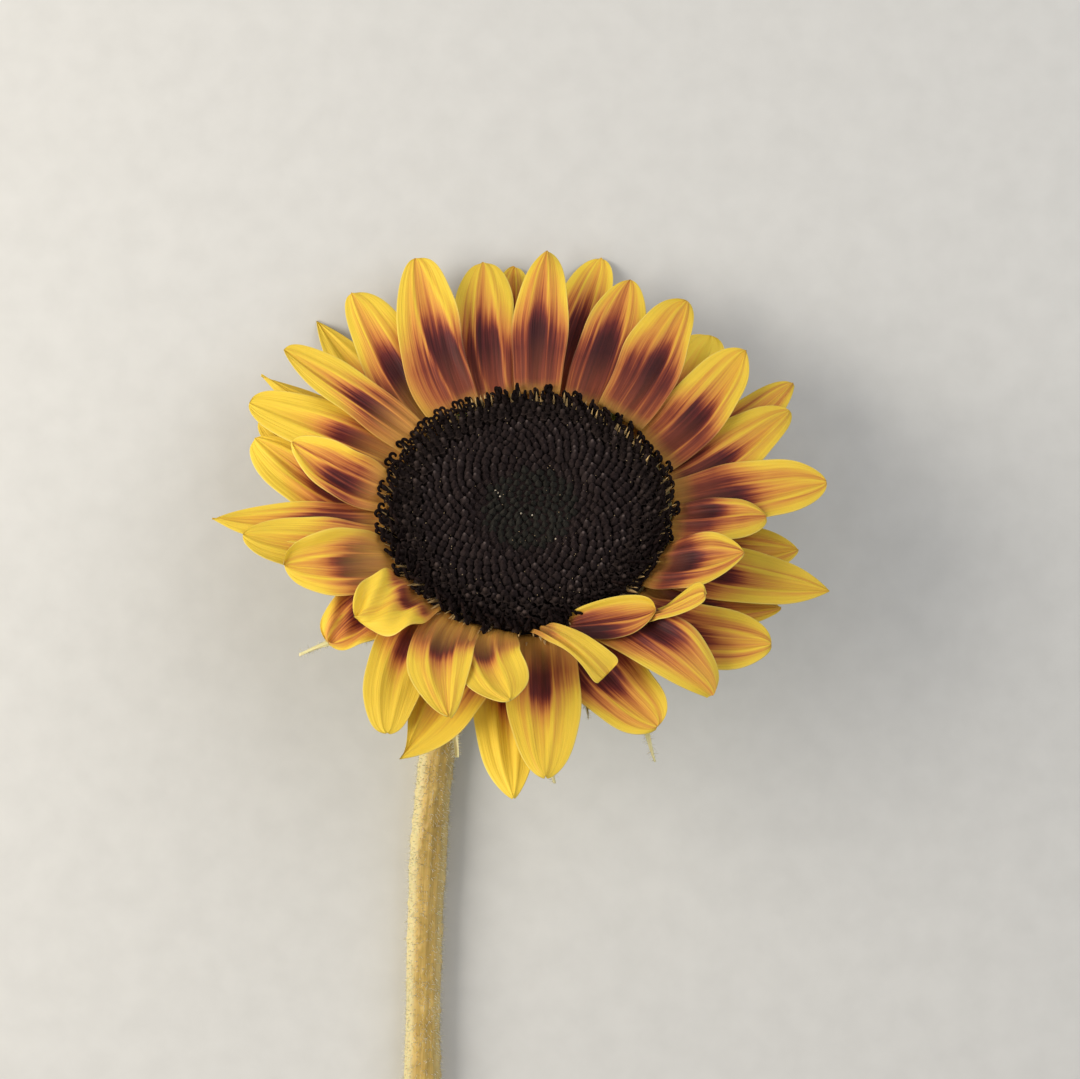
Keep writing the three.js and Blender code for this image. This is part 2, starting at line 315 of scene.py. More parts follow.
# %% [markdown]
# ## The ray petals, one by one
# A sunflower's ray petal is a thin velvety strap: a narrow claw, two raised ribs with a groove between
# them, fine lengthwise pleats and wavy edges. Copies of one petal would look like a toy, and cloth
# simulation can't know the pleats. So each petal is worked out from its own row in the table below, the
# same rows as in the solids: which whorl it is in, where it sits and ends on the clock face, how far it
# reaches and how wide it is, and for some how they lift, arch, curl and roll. Angles are in degrees, from
# the right round by the top, and lengths in mm.

# %% The petals' places
COLUMNS = ("whorl", "seat", "end", "reach", "width")
RAYS = (
    (3, 117, 109, 61, 12.5, {}), (0, 132, 127, 69, 9, dict(lift=-4)), (2, 127, 121, 63, 12.5, {}),
    (3, 138, 140, 60, 12, {}), (1, 144, 142, 66, 8, {}), (2, 148, 152, 62, 12, {}),
    (0, 158, 151, 61, 12, {}), (3, 166, 160, 50, 11, dict(lift=3, curl=45, roll=-20)),
    (1, 171, 157, 59, 13, {}), (2, 179, 179, 63, 11, {}), (1, 190, 182, 57, 12, {}),
    (3, 199, 193, 50, 14, dict(lift=2, arch=2, roll=-20)), (1, 208, 211, 50, 13, {}),
    (3, 214, 220, 45, 13, dict(lift=10, roll=-20)), (2, 224, 237, 57, 12, {}),
    (3, 233, 246, 54, 12.5, dict(lift=7)), (1, 245, 241, 58, 14.5, {}), (3, 250, 262, 50, 12, dict(lift=9)),
    (0, 257, 263, 62, 12, {}), (2, 269, 268, 61, 14, {}), (3, 272, 286, 48, 11, dict(lift=12, roll=-35)),
    (1, 283, 291, 58, 14, {}), (0, 291, 304, 55, 13, {}),
    (3, 289, 302, 43, 10, dict(lift=15, arch=5, roll=-15)), (2, 302, 318, 58, 13, {}),
    (3, 308, 312, 46, 9, dict(lift=13, roll=-35)), (0, 317, 330, 54, 9, {}),
    (3, 325, 331, 46, 14, dict(lift=8, arch=1, roll=12)), (1, 331, 335, 62, 12, {}),
    (0, 340, 344, 54, 12, {}), (3, 346, 348, 47, 10, {}), (2, 356, 357, 59, 14, {}), (1, 8, 16, 57, 13, {}),
    (0, 15, 22, 61, 11, {}), (2, 24, 32, 56, 13, {}), (0, 35, 41, 57, 11, {}), (3, 45, 49, 56, 13, {}),
    (2, 61, 63, 57, 12, {}), (0, 72, 70, 65, 12.5, {}), (3, 82, 81, 59, 12, {}),
    (0, 92, 88, 62, 11, dict(lift=0.7)), (2, 102, 95, 59, 12, {}),
)
print("petals:", len(RAYS))

# %% [markdown]
# Every petal and bract leaves the head straight out and then swings to its tip. A cubic curve says that
# with four points, and its handles stay the same fractions of the length that the solids use.

# %% The run of a blade
SEAT_RADIUS = 28.4
SEAT_HEIGHT = -2.5
WHORL_STEP = 1.1
WHORL_SPREAD = 0.06
BOWL_SLOPE = 0.05
BOWL_SLOPE_AT_TOP = 0.08
LEAVE = 0.35
SETTLE = 0.45
# What a petal has where neither of its tables says otherwise
PLAIN = dict(foot=0, lift=0, arch=0, leave=LEAVE, curl=18, roll=0, rim=0, folds=0, rear=1, full=0, late=1)


def whorl_height(whorl, clock, radius):
    """A shallow bowl that opens most at the top, one level for each whorl."""
    slope = BOWL_SLOPE + BOWL_SLOPE_AT_TOP * math.sin(math.radians(clock)) + WHORL_SPREAD * whorl
    return SEAT_HEIGHT + WHORL_STEP * whorl + (radius - SEAT_RADIUS) * slope


def blade_run(seat, tip, reach, seat_radius, seat_height, tip_height, arch=0, leave=LEAVE):
    """The four control points of a blade's middle line. leave is how far it runs straight out."""
    seat, tip = np.radians((seat, tip))
    start = polar(seat, seat_radius)
    end = polar(tip, reach)
    leaving = polar(seat, seat_radius + np.linalg.norm(end - start) * leave)
    settling = end + (leaving - end) * SETTLE
    run = np.array([start, leaving, settling, end])
    rise = (tip_height - seat_height) * LEAVE
    run[:, 2] = seat_height, seat_height + rise + arch, seat_height + rise * 2 + arch, tip_height
    return run


def petal_run(petal):
    """The run of one petal, from its row and its habit."""
    whorl, seat, end, reach = (petal[key] for key in COLUMNS[:4])
    foot = whorl_height(whorl, seat, SEAT_RADIUS) + petal["foot"]
    top = whorl_height(whorl, end, reach) + petal["lift"]
    return blade_run(seat, end, reach, SEAT_RADIUS, foot, top, petal["arch"], petal["leave"])


first = {**PLAIN, **dict(zip(COLUMNS, RAYS[0]))}
print("first petal, middle line, mm:", petal_run(first).round(1).tolist())

# %% [markdown]
# A blade is a grid: v runs from seat to tip and u from the left edge to the right one. Each row is laid out
# square to the run, bent round the length by the curl, and then lifted by a relief of ribs, pleats and
# waves. The back is the same grid a petal's thickness below, and the two thin out to meet at the rim.

# %% The blade as a closed sheet
UP = np.array([0.0, 0.0, 1.0])
FLOOR_CLEARANCE = 0.05


def blade_frame(run, v, roll):
    """Middle line, sideways and facing directions of a blade at each v. roll is per row."""
    centre, along = bezier(run, v)
    side = unit(np.cross(along, UP))
    side = side * np.cos(roll)[:, None] + np.cross(along, side) * np.sin(roll)[:, None]
    return centre[:, None], side[:, None], np.cross(side, along)[:, None]


def blade_sheet(run, half_width, relief, thickness, curl, roll, u, v):
    """Points and faces of a closed sheet. curl and roll are per row, the rest per point of the grid."""
    centre, side, facing = blade_frame(run, v, roll)
    turn = (curl[:, None] * u)[..., None]
    bend = (half_width / curl[:, None])[..., None]
    middle = centre + side * (bend * np.sin(turn)) + facing * (bend * (1 - np.cos(turn)))
    out = facing * np.cos(turn) - side * np.sin(turn)
    front = middle + out * (relief + thickness / 2)[..., None]
    back = middle + out * (relief - thickness / 2)[..., None]
    rows, columns = len(v), len(u)
    count = rows * columns
    points = np.concatenate([front.reshape(-1, 3), back.reshape(-1, 3)])
    face = grid_faces(rows, columns)
    ids = np.arange(count).reshape(rows, columns)
    border = np.concatenate([ids[0, :], ids[1:, -1], ids[-1, -2::-1], ids[-2:0:-1, 0]])
    after = np.roll(border, -1)
    rim = np.stack([border, border + count, after + count, after], -1)
    return points, np.concatenate([face, (face + count)[:, ::-1], rim]).tolist()


def above_floor(points):
    """The far petals rest on the floor, so no point of a piece goes below it."""
    return np.concatenate([points[:, :2], np.maximum(points[:, 2:], FLOOR_CLEARANCE)], 1)


print("blade helpers ready")

# %% [markdown]
# ## What a petal is made of
# The real petal is a living skin of tiny cone-shaped cells, so it is matt and velvety and never shines like
# paint. Its colours are two: a carotene yellow all over, and a maroon dye on top that starts at the claw
# and runs out as a streaky flame along the groove. A picture would be one way to paint that. Here every
# point of a petal knows how much dye it would carry if the flame were smooth, and noise drawn out along the
# petal frays it into streaks.

# %% Petal skin
YELLOW_TO_MAROON = [(0.0, "#F3CD45"), (0.14, "#EAB843"), (0.28, "#DF9C45"), (0.41, "#C4763C"),
                    (0.53, "#97492E"), (0.66, "#692825"), (0.88, "#43191A")]
RUSTY_FLESH = linear("#9A5230")
GOLDEN_CLAW = linear("#D09A46")
# Pale colour of the thin edge, also used as a painted rim highlight
PALE_EDGE_AND_RIM_HIGHLIGHT = linear("#F6DF86")
DULL_BACK = (linear("#D2B24A"), linear("#B8A044"))
# How many streaks lie over half a petal's width, 6.5 mm, and over its length. They are 2.2, 0.8 and 0.4 mm
# apart, as the stains, pleats and veins of a real petal are
BROAD_STREAKS = (3.0, 0.8)
FINE_STREAKS = (8.0, 1.3)
VEINS = (17.0, 1.8)
# The real cone cells are 0.03 mm wide and would not show, so they are drawn six times as coarse
CELL = 0.18 * MM


def drawn_out(tree, u, v, times, seed, detail, roughness=0.5):
    """Noise that changes fast across a blade and slowly along it. times is how often, across and along."""
    x = add(tree, "Math", {0: u, 1: times[0]}, operation="MULTIPLY")
    y = add(tree, "Math", {0: v, 1: times[1]}, operation="MULTIPLY")
    spot = add(tree, "CombineXYZ", {0: x, 1: y, 2: seed})
    return add(tree, "TexNoise", {"Vector": spot, "Scale": 1.0, "Detail": detail, "Roughness": roughness})


def petal_material():
    """Petal skin, painted by what each point carries: its petal's seed and tone, its dye, back and root."""
    material, tree = new_material("velvety_petal_skin")
    grid = add(tree, "SeparateXYZ", {0: add(tree, "UVMap", uv_map="Pattern")}, out=None)
    u = add(tree, "Math", {0: grid.outputs[0], 1: 2.0, 2: -1.0}, operation="MULTIPLY_ADD")
    v = grid.outputs[1]
    seed, dye, back, tone, root = (add(tree, "Attribute", out="Fac", attribute_name=name)
                                   for name in ("seed", "dye", "back", "tone", "root"))
    broad = drawn_out(tree, u, v, BROAD_STREAKS, seed, 2.0)
    streak = drawn_out(tree, u, v, FINE_STREAKS, seed, 4.0, 0.6)
    vein = drawn_out(tree, u, v, VEINS, seed, 2.0)

    # Dye: the smooth flame, frayed by all three, through a ramp from yellow to maroon
    fray = -0.70
    for pattern, share in ((broad, 0.30), (streak, 0.60), (vein, 0.50)):
        fray = add(tree, "Math", {0: pattern, 1: share, 2: fray}, operation="MULTIPLY_ADD")
    calm = add(tree, "MapRange", {0: dye, 1: 0.2, 2: 0.6, 3: 0.55, 4: 1.0})
    depth = add(tree, "Math", {0: fray, 1: calm, 2: dye}, operation="MULTIPLY_ADD")
    skin = add(tree, "ValToRGB", {0: depth}, YELLOW_TO_MAROON)

    # Lower down the dye is thinner over a rusty flesh, and the claw is golden brown
    low = add(tree, "MapRange", {0: v, 1: 0.05, 2: 0.40, 3: 0.50, 4: 0.0})
    claw = add(tree, "Math", {0: root, 1: streak}, operation="MULTIPLY", use_clamp=True)

    # The back of the petal carries hardly any dye: a dull greenish yellow
    rear = add(tree, "Mix", {0: broad, 6: DULL_BACK[0], 7: DULL_BACK[1]}, out=2, data_type="RGBA")
    behind = add(tree, "Math", {0: back, 1: 0.80}, operation="MULTIPLY")

    # The outermost half millimetre is thin, and pale where there is no dye; this pale band is also a painted
    # rim highlight along the edge
    edge = add(tree, "Math", {0: u}, operation="ABSOLUTE")
    edge = add(tree, "MapRange", {0: edge, 1: 0.94, 2: 1.0, 3: 0.0, 4: 0.40})
    outward = add(tree, "MapRange", {0: v, 1: 0.25, 2: 0.65, 3: 0.25, 4: 1.0})
    clear = add(tree, "MapRange", {0: dye, 1: 0.35, 2: 0.75, 3: 1.0, 4: 0.1})
    for part in (outward, clear):
        edge = add(tree, "Math", {0: edge, 1: part}, operation="MULTIPLY")
    for amount, colour in ((low, RUSTY_FLESH), (claw, GOLDEN_CLAW), (behind, rear), (edge, PALE_EDGE_AND_RIM_HIGHLIGHT)):
        skin = add(tree, "Mix", {0: amount, 6: skin, 7: colour}, out=2, data_type="RGBA")

    # Veins shade the colour a little, and stand up a little, as pleats and cells do. The petal's tone then
    # scales the colour, which also paints shade and light on whole petals
    shade = add(tree, "MapRange", {0: vein, 1: 0.3, 2: 0.7, 3: 1.04, 4: 0.95})
    shade = add(tree, "Math", {0: shade, 1: tone}, operation="MULTIPLY")
    skin = add(tree, "VectorMath", {0: skin, "Scale": shade}, operation="SCALE")
    body = add(tree, "TexCoord", out="Object")
    cells = add(tree, "TexVoronoi", {"Vector": body, "Scale": 1 / CELL})
    bump = {}
    for height, stands, strength in ((vein, 0.14, 0.6), (streak, 0.4, 0.5), (cells, 0.02, 0.5)):
        bump = {"Height": height, "Distance": stands * MM, "Strength": strength, **bump}
        bump = {"Normal": add(tree, "Bump", bump)}
    rough = add(tree, "MapRange", {0: streak, 1: 0.3, 2: 0.7, 3: 0.50, 4: 0.64})
    return surface(material, {"Base Color": skin, "Roughness": rough, **bump, "IOR": 1.42,
                              "Specular IOR Level": 0.3, "Subsurface Weight": 0.15,
                              "Subsurface Scale": 1.2 * MM, "Subsurface Radius": (1.0, 0.7, 0.2)})


PETAL_SKIN = petal_material()
print("petal skin:", len(PETAL_SKIN.node_tree.nodes), "nodes")

# %% [markdown]
# ## The habit of each petal
# Petals differ as leaves do. Each has a seeded draw for everything that varies, and then the table below
# sets what the eye would miss in the particular ones: a shoulder that is full on one side only, a rib off
# the middle, a fold, a weak flame. left and right say how a side closes towards the tip: 0.4 is round, 1 is
# straight. dye is how deep the flame is, flush how far out it reaches, warm and gold how far it tints the
# yellow, and root how far the golden claw does. gold is set deeper on petals that point to the lower right,
# which partly paints shade on them. tone scales a whole petal's colour: it varies at random, holds painted
# shade on petals that point right, away from the key light, and is painted light where it is raised on
# petals that lie in shade. Where a row gives a seat, end, reach, width, lift, arch or roll, it stands instead
# of the one in the petals' own table.

# %% Habits
draw = np.random.default_rng(7)
VARIES = {
    "middle": (-0.12, 0.12), "drift": (-0.2, 0.2), "spread": (0.34, 0.46), "ribs": (0.38, 0.62),
    "keel": (-0.2, 1.1), "phase": (0, 6.28), "wave": (0.15, 0.55), "beats": (5, 10), "tip": (-1.0, 1.0),
    "claw": (0.76, 0.88), "widest": (0.36, 0.44), "left": (0.5, 0.8), "right": (0.5, 0.8),
    "flush": (0.60, 0.70), "dye": (0.9, 1.05), "tone": (0.93, 1.02), "broad": (1.03, 1.09),
}
# tone above 1 in rows 19, 36, 39 and 41 is painted light on petals that lie in shade
HABITS = {
    1: dict(left=0.5, right=0.34, dye=0.9, flush=0.68, end=107.4, reach=61.6, full=0.17, middle=0.4,
            drift=-0.7),
    2: dict(left=0.95, right=0.95, dye=0.5, end=126.5),
    3: dict(left=0.5, right=0.5, dye=0.85, flush=0.68, root=0.4, full=0.25, middle=0, drift=0),
    4: dict(left=0.7, right=0.4, dye=0.68, root=0.4, reach=61.2, width=9.4, full=0.1),
    5: dict(left=1.1, right=1.1, dye=0.2, end=144.5, reach=64.3, width=6),
    6: dict(left=0.55, right=0.4, dye=0.5, flush=0.62, root=0.4),
    7: dict(left=0.5, right=0.5, dye=0.5),
    8: dict(dye=0.62, flush=0.75, gold=0.42, root=0.35, reach=49, middle=-0.3),
    9: dict(left=0.5, right=0.6, dye=0.6),
    10: dict(left=0.95, right=0.95, dye=0.7, flush=0.6, end=178.2, width=9.5),
    11: dict(left=0.55, right=0.65, dye=0.55, whorl=2.3, width=13),
    12: dict(left=0.6, right=0.5, dye=0.72, flush=0.66, root=0.65, rim=1.2, folds=0.2),
    13: dict(left=0.42, right=0.45, dye=0.85, flush=0.75, warm=0.12, root=0.4, reach=48.6, width=12.8,
            folds=0.8),
    14: dict(left=0.75, right=0.6, dye=0.64, flush=0.42, warm=0, gold=0.2, root=0.25, rear=0.2, seat=217,
            end=214, reach=42.6, width=14.6, widest=0.5, full=-0.14, folds=0.8, ribs=0.3, lift=1.5, arch=3,
            roll=0),
    15: dict(left=0.5, right=0.45, dye=0.12, flush=0.6, warm=0.1),
    16: dict(left=0.85, right=0.75, dye=0.6, flush=0.5, warm=0.14, root=0.45, seat=236, end=249.5),
    17: dict(left=0.9, right=1.9, dye=0.4, reach=60.3, full=-0.12),
    18: dict(left=0.45, right=0.42, dye=0.38, flush=0.55, warm=0.12, root=0.5, reach=51, full=-0.08),
    19: dict(left=0.8, right=0.8, dye=0.2, flush=0.55, tone=1.02, end=262),
    20: dict(left=0.6, right=0.6, dye=0.32, flush=0.6, warm=0.12),
    21: dict(left=0.12, right=0.12, dye=0.8, flush=0.5, warm=-0.06, root=0.8, rear=0, seat=269, end=284.5,
            reach=44.5, width=5.6, widest=0.94, claw=0.6, full=-0.3, late=3, middle=0.3, drift=0, keel=0,
            foot=0.2, lift=3.5, arch=5, leave=0.12, rolls=(0, 0, 0, 0)),
    22: dict(left=0.36, right=0.5, dye=1, flush=0.7, warm=-0.07, reach=55),
    23: dict(left=0.4, right=1, dye=1, flush=0.72, warm=-0.07, whorl=2.6, seat=296, end=303, reach=56,
            width=11.6, full=-0.33, middle=-0.45, drift=0, keel=1.6, lift=-2.5, arch=6.5),
    24: dict(left=0.4, right=0.8, dye=0.95, flush=0.78, root=0.3, seat=279, end=306, reach=37.6, width=8.6,
            widest=0.75, claw=0.1, full=0.12, middle=0.7, drift=0, rim=-1, foot=0.5, lift=5, arch=0.5,
            leave=0.1, rolls=(0, 0, 0, 0)),
    25: dict(left=0.4, right=0.5, dye=1, flush=0.74, warm=-0.09, whorl=1.4, end=319, reach=57.4,
            width=14.5, full=-0.15),
    26: dict(left=0.25, right=0.25, dye=0.55, flush=0.7, warm=0.15, rear=0, seat=294, end=315, reach=44.5,
            width=6, widest=0.85, claw=0.15, full=-0.3, late=2.5, lift=9.5, arch=-3, leave=0.3,
            rolls=(0, -30, -40, 0)),
    27: dict(dye=0.8),
    28: dict(left=0.8, right=0.6, dye=1, flush=0.6, width=12.5, lift=7, roll=-4),
    29: dict(left=0.9, right=0.9, dye=0.6, flush=0.55),
    30: dict(dye=0.7),
    31: dict(dye=0.85, middle=-0.4, drift=0),
    32: dict(left=0.6, right=0.5, dye=0.82, flush=0.6),
    33: dict(left=0.6, right=0.75, dye=0.85, warm=-0.02, end=17, full=-0.1),
    34: dict(left=0.5, right=0.9, end=23.5, reach=61.6),
    35: dict(left=0.45, right=0.75, dye=0.87, flush=0.62, warm=-0.04, full=-0.12),
    36: dict(left=0.4, right=0.5, dye=0.4, tone=1.2, end=43.5, width=14),
    37: dict(left=0.5, right=0.75, dye=0.9, flush=0.7, warm=-0.03, full=-0.15),
    38: dict(left=0.6, right=0.55, dye=1.05, flush=0.72),
    39: dict(left=0.5, right=0.5, dye=0.75, flush=0.8, tone=1.15, seat=75, end=71.3, reach=64.5),
    40: dict(left=0.8, right=0.7, dye=1.05, flush=0.66, width=10.8),
    41: dict(left=0.5, right=0.5, dye=0.85, flush=0.85, tone=1.2, reach=61, width=9.5),
    42: dict(left=0.5, right=0.42, dye=0.82, flush=0.7, end=94.3, reach=59.4, width=12.8, full=0.14,
            middle=0.25, drift=-0.4),
}


def towards(clock, other):
    """1 where a petal points at the other place on the clock face, and -1 where it points away."""
    return math.cos(math.radians(clock - other))


def draw_petal(number):
    """All that shapes and colours one petal: draws, and then its rows in the two tables."""
    *places, extra = RAYS[number - 1]
    row = {**PLAIN, **dict(zip(COLUMNS, places)), **extra}
    habit = {key: draw.uniform(*bounds) for key, bounds in VARIES.items()}
    # gold is deeper on petals pointing lower right, which are less lit, so it partly paints shade on them
    habit["gold"] = 0.26 + 0.08 * towards(row["end"], 320)
    # Painted shade: tone falls on petals that point right, away from the key light
    habit["tone"] *= 0.92 - 0.09 * towards(row["end"], -15)
    habit["root"] = 0.20 + 0.10 * towards(row["end"], 255)
    habit["warm"] = 0.04 + 0.05 * towards(row["end"], 280)
    return {**row, **habit, **HABITS[number]}


print("petals with their own habits:", len(HABITS))

# %% [markdown]
# ## Growing the petals
# The relief adds up what the eye reads as a petal: two ribs with a groove between them, which draw together
# towards the tip, a keel, small pleats, and edges that wave. The dye runs in the groove and thins out on
# the ribs, so the same numbers shape the surface and its colour. The narrow lines of thin dye on the rib
# crests and on a raised rim are also painted highlights where those ridges catch the light. Heights are in
# mm, and places on the blade are parts of its length and of its half width. A light hand is needed: a rib
# half a millimetre high already reads as a fold.

# %% Petals
PETAL_ROWS = 58
PETAL_COLUMNS = 37
PETAL_THICKNESS = 0.45
FLAT_FOOT = 0.3
ROWS_CROWDED = 1.5  # towards the tip
COLUMNS_CROWDED = 1.25  # towards both edges
ROLLED_AT = (0, 0.4, 0.65, 1)
SEED_STEP = 3.7
OUTLINE_RIPPLE = 0.02
FLAME = ((0, 0.62), (0.18, 0.76), (0.5, 0.97), (0.68, 0.91), (0.82, 0.66), (0.95, 0.47), (1.1, 0.36),
         (1.3, 0.29), (1.5, 0.24))
SIDE_FLAME = ((0, 0.68), (0.18, 0.82), (0.45, 0.90), (0.60, 0.78), (0.72, 0.60), (0.85, 0.44), (1.0, 0.27),
              (1.3, 0.12), (2, 0.05))


def petal_outline(u, v, petal):
    """Half outline of a petal as a part of its greatest half width, with another closing on each side."""
    claw, widest = petal["claw"], petal["widest"]
    rise = claw + (1 - claw) * np.sin(np.clip(v / widest, 0, 1) * math.pi / 2) ** petal["late"]
    past = np.clip((v - widest) / (1 - widest), 0, 1)
    fall = (1 - past ** 2.1) ** np.where(u < 0, petal["left"], petal["right"])
    outline = np.where(v < widest, rise, np.maximum(fall, 0.02))
    outline = outline * (1 + OUTLINE_RIPPLE * np.sin(v * 14 + petal["phase"]))
    return outline * (1 + petal["full"] * np.sign(u) * smooth_step(0.15, 0.7, v))


def petal_relief(u, v, petal):
    """Height of the petal's face above its plain sheet, and how much dye it would carry."""
    phase = petal["phase"]
    spread = petal["spread"] * (1 - 0.4 * v ** 6)
    off = u - (petal["middle"] + petal["drift"] * (v - 0.4))
    strength = petal["ribs"] * smooth_step(-0.15, 0.2, v) * (1 - 0.6 * smooth_step(0.5, 1.0, v))
    to_rib = np.abs(np.abs(off) - spread)
    ribs = np.clip(1.08 - np.hypot(to_rib, 0.02) / 0.25, 0, 1)
    groove = np.exp(-(off / (spread * 0.7)) ** 2)
    keel = petal["keel"] * smooth_step(0.3, 0.9, v) * (0.5 - np.abs(off))
    pleats = 0.06 * np.sin(u * 19 + phase + 2 * np.sin(v * 4 + phase)) * (1 - u ** 2)
    edge = petal["wave"] * np.abs(u) ** 3 * smooth_step(0.1, 0.5, v)
    waves = edge * np.sin(v * petal["beats"] + phase + np.sign(u) * 1.3)
    tip = petal["tip"] * smooth_step(0.70, 1.0, v) ** 2
    rim = abs(petal["rim"]) * smooth_step(0.55, 1.0, np.sign(petal["rim"]) * u) * smooth_step(0.0, 0.3, v)
    folds = petal["folds"] * np.sin(u * 6 + v * 5 + phase) * np.sin(v * 8 + u * 2)
    relief = strength * (ribs - 0.6 * groove) + keel + pleats + waves + tip + rim + folds

    side = smooth_step(0.8, 1.12, np.abs(off) / spread)
    reach = v / petal["flush"]
    flame = (1 - side) * read_off(FLAME, reach) + side * read_off(SIDE_FLAME, reach)
    # Less dye away from the middle line; the narrow lines of less dye on the rib crests and on a raised rim
    # are partly painted highlights
    thinned = 0.35 * np.abs(off) ** 1.3 + 0.28 * np.exp(-(to_rib / 0.05) ** 2) + 0.4 * rim
    inside = 1 - 0.9 * smooth_step(0.5, 0.95, np.abs(u))
    gold = petal["gold"] * side * smooth_step(0.3, 0.8, v) * inside
    return relief, flame - thinned + (petal["dye"] - 1) * 0.5 + petal["warm"] + gold


def grow_petal(number):
    """One petal of the flower, as a piece in place of its solid."""
    petal = draw_petal(number)
    v = 1 - (1 - np.linspace(0, 1, PETAL_ROWS)) ** ROWS_CROWDED
    u = np.sin(np.linspace(-1, 1, PETAL_COLUMNS) * COLUMNS_CROWDED) / math.sin(COLUMNS_CROWDED)
    grid_u, grid_v = np.meshgrid(u, v)
    half = petal["width"] / 2 * petal["broad"] * petal_outline(grid_u, grid_v, petal)
    relief, dye = petal_relief(grid_u, grid_v, petal)
    thickness = PETAL_THICKNESS * (1 - 0.72 * np.maximum(np.abs(grid_u) ** 5, grid_v ** 14))
    curl = math.radians(petal["curl"]) * (FLAT_FOOT + (1 - FLAT_FOOT) * smooth_step(0, 0.5, v))
    roll = petal["roll"] * np.sin(v * math.pi / 2)
    if "rolls" in petal:
        roll = np.interp(v, ROLLED_AT, petal["rolls"])
    points, faces = blade_sheet(petal_run(petal), half, relief, thickness, curl, np.radians(roll), u, v)
    pattern = np.stack([grid_u * 0.5 + 0.5, grid_v], -1).reshape(-1, 2)
    root = 1.6 * (1 - smooth_step(0, petal["root"], grid_v)).ravel()
    both = np.ones(len(points))
    values = {"seed": both * (number * SEED_STEP), "tone": both * petal["tone"],
              "back": np.repeat([0.0, petal["rear"]], len(pattern)),
              "dye": np.tile(dye.ravel(), 2), "root": np.tile(root, 2)}
    piece(f"ray_petal_{number:02d}", above_floor(to_frame(points)), faces, PETAL_SKIN,
          [f"petal_{number:02d}"], np.tile(pattern, (2, 1)), values)


for number in range(1, len(RAYS) + 1):
    grow_petal(number)
print("petals grown:", len(RAYS))

# %% [markdown]
# ## The disc, a thousand small flowers
# What looks like one dark cushion is about a thousand florets. Each new one opens a golden angle, 137.5
# degrees, round from the last, and that gives the crossing spirals. A bump pattern could fake them, but the
# fringe of curled stigmas stands clear of the rim, so the florets are real shapes: a few templates, stamped
# many times into joined meshes. First comes the bed they stand on. It rises between them, so that no gap
# shows through to the green behind. The real disc isn't quite round, so its fringe is drawn in where petals
# press on it, and the bed follows a little.

# %% The bed of the disc
DISC_RADIUS = 28
DISC_FOOT = -2.9
BED_SIDES = 96
BED_RADII = (28, 27, 25, 22, 18, 14, 10, 6, 3, 0)
FLORET_HEIGHT = ((0, 1.7), (8, 2.3), (14, 2.7), (21, 4.0))
DISC_TOP = ((0, 3.3), (8.4, 3.6), (16.8, 4.5), (23.8, 5.0), (26.9, 4.2), (28, 2.5))
BED_FILL = ((0, 0.5), (8, 0.9), (14, 1.3), (19, 1.4), (26, 0.5), (28, 0))
DRAWN_IN = ((0, 1.1), (25, 1.9), (48, 2.2), (70, 1.7), (95, 1.0), (125, 0), (155, 0), (180, 0.3), (215, 0.9),
            (255, 0), (272, 0), (287, 1.5), (320, 1.0), (360, 1.1))
DRAWN_FROM = 19
FRINGE_RADIUS = 27.7
BED_SHARE = 0.25  # of how far the fringe is drawn in


def disc_height(radius):
    """The height at which the florets stand."""
    return read_off(DISC_TOP, radius) - read_off(FLORET_HEIGHT, radius)


def short_by(angle, radius):
    """How far, in mm, the disc's edge is drawn in towards each side. It fades out towards the middle."""
    return read_off(DRAWN_IN, np.degrees(angle) % 360) * smooth_step(DRAWN_FROM, FRINGE_RADIUS, radius)


def turned(profile, sides, ripple=None):
    """A closed round body from its profile (radius, height), which starts and ends on the axis."""
    rings = np.array(profile, dtype=float)
    angle = evenly(sides)[None]
    radius, height = rings[1:-1, :1], rings[1:-1, 1:]
    if ripple is not None:
        radius, height = ripple(angle, radius, height)
    body = polar(angle, radius, height).reshape(-1, 3)
    ends = [[0, 0, rings[0, 1]], [0, 0, rings[-1, 1]]]
    return np.concatenate([body, ends]), tube_faces(len(rings) - 2, sides)


def dark_material(name, low, high, rough):
    """Dry floret skin: near black, lifted by each point's shade value, which holds random differences between
    florets and, on the florets, painted light
    """
    material, tree = new_material(name)
    shade = add(tree, "Attribute", out="Fac", attribute_name="shade")
    body = add(tree, "TexCoord", out="Object")
    grain = add(tree, "TexNoise", {"Vector": body, "Scale": 2.2 / MM, "Detail": 3.0})
    mixed = add(tree, "Math", {0: grain, 1: 0.3, 2: -0.15}, operation="MULTIPLY_ADD")
    mixed = add(tree, "Math", {0: mixed, 1: shade}, operation="ADD")
    tone = add(tree, "ValToRGB", {0: mixed}, [(0.0, low), (1.0, high)])
    bump = add(tree, "Bump", {"Height": grain, "Distance": 0.06 * MM, "Strength": 0.6})
    return surface(material, {"Base Color": tone, "Roughness": rough, "Normal": bump,
                              "Specular IOR Level": 0.06})


def ripple_bed(angle, radius, height):
    """The bed is drawn in with the fringe, by a share of it."""
    return radius - BED_SHARE * short_by(angle, radius), height


BED = dark_material("dark_receptacle", "#261E1D", "#3C302E", 0.95)
bed_profile = [(0, DISC_FOOT), (DISC_RADIUS - 1, DISC_FOOT), (DISC_RADIUS, DISC_FOOT + 0.6)]
bed_profile += [(radius, disc_height(radius) + read_off(BED_FILL, radius)) for radius in BED_RADII]
points, faces = turned(bed_profile, BED_SIDES, ripple_bed)
bed_shade = np.full(len(points), 0.4)
piece("disc_bed", to_frame(points), faces, BED, ["disc"], values={"shade": bed_shade})
print("disc bed laid, mm across:", 2 * DISC_RADIUS)

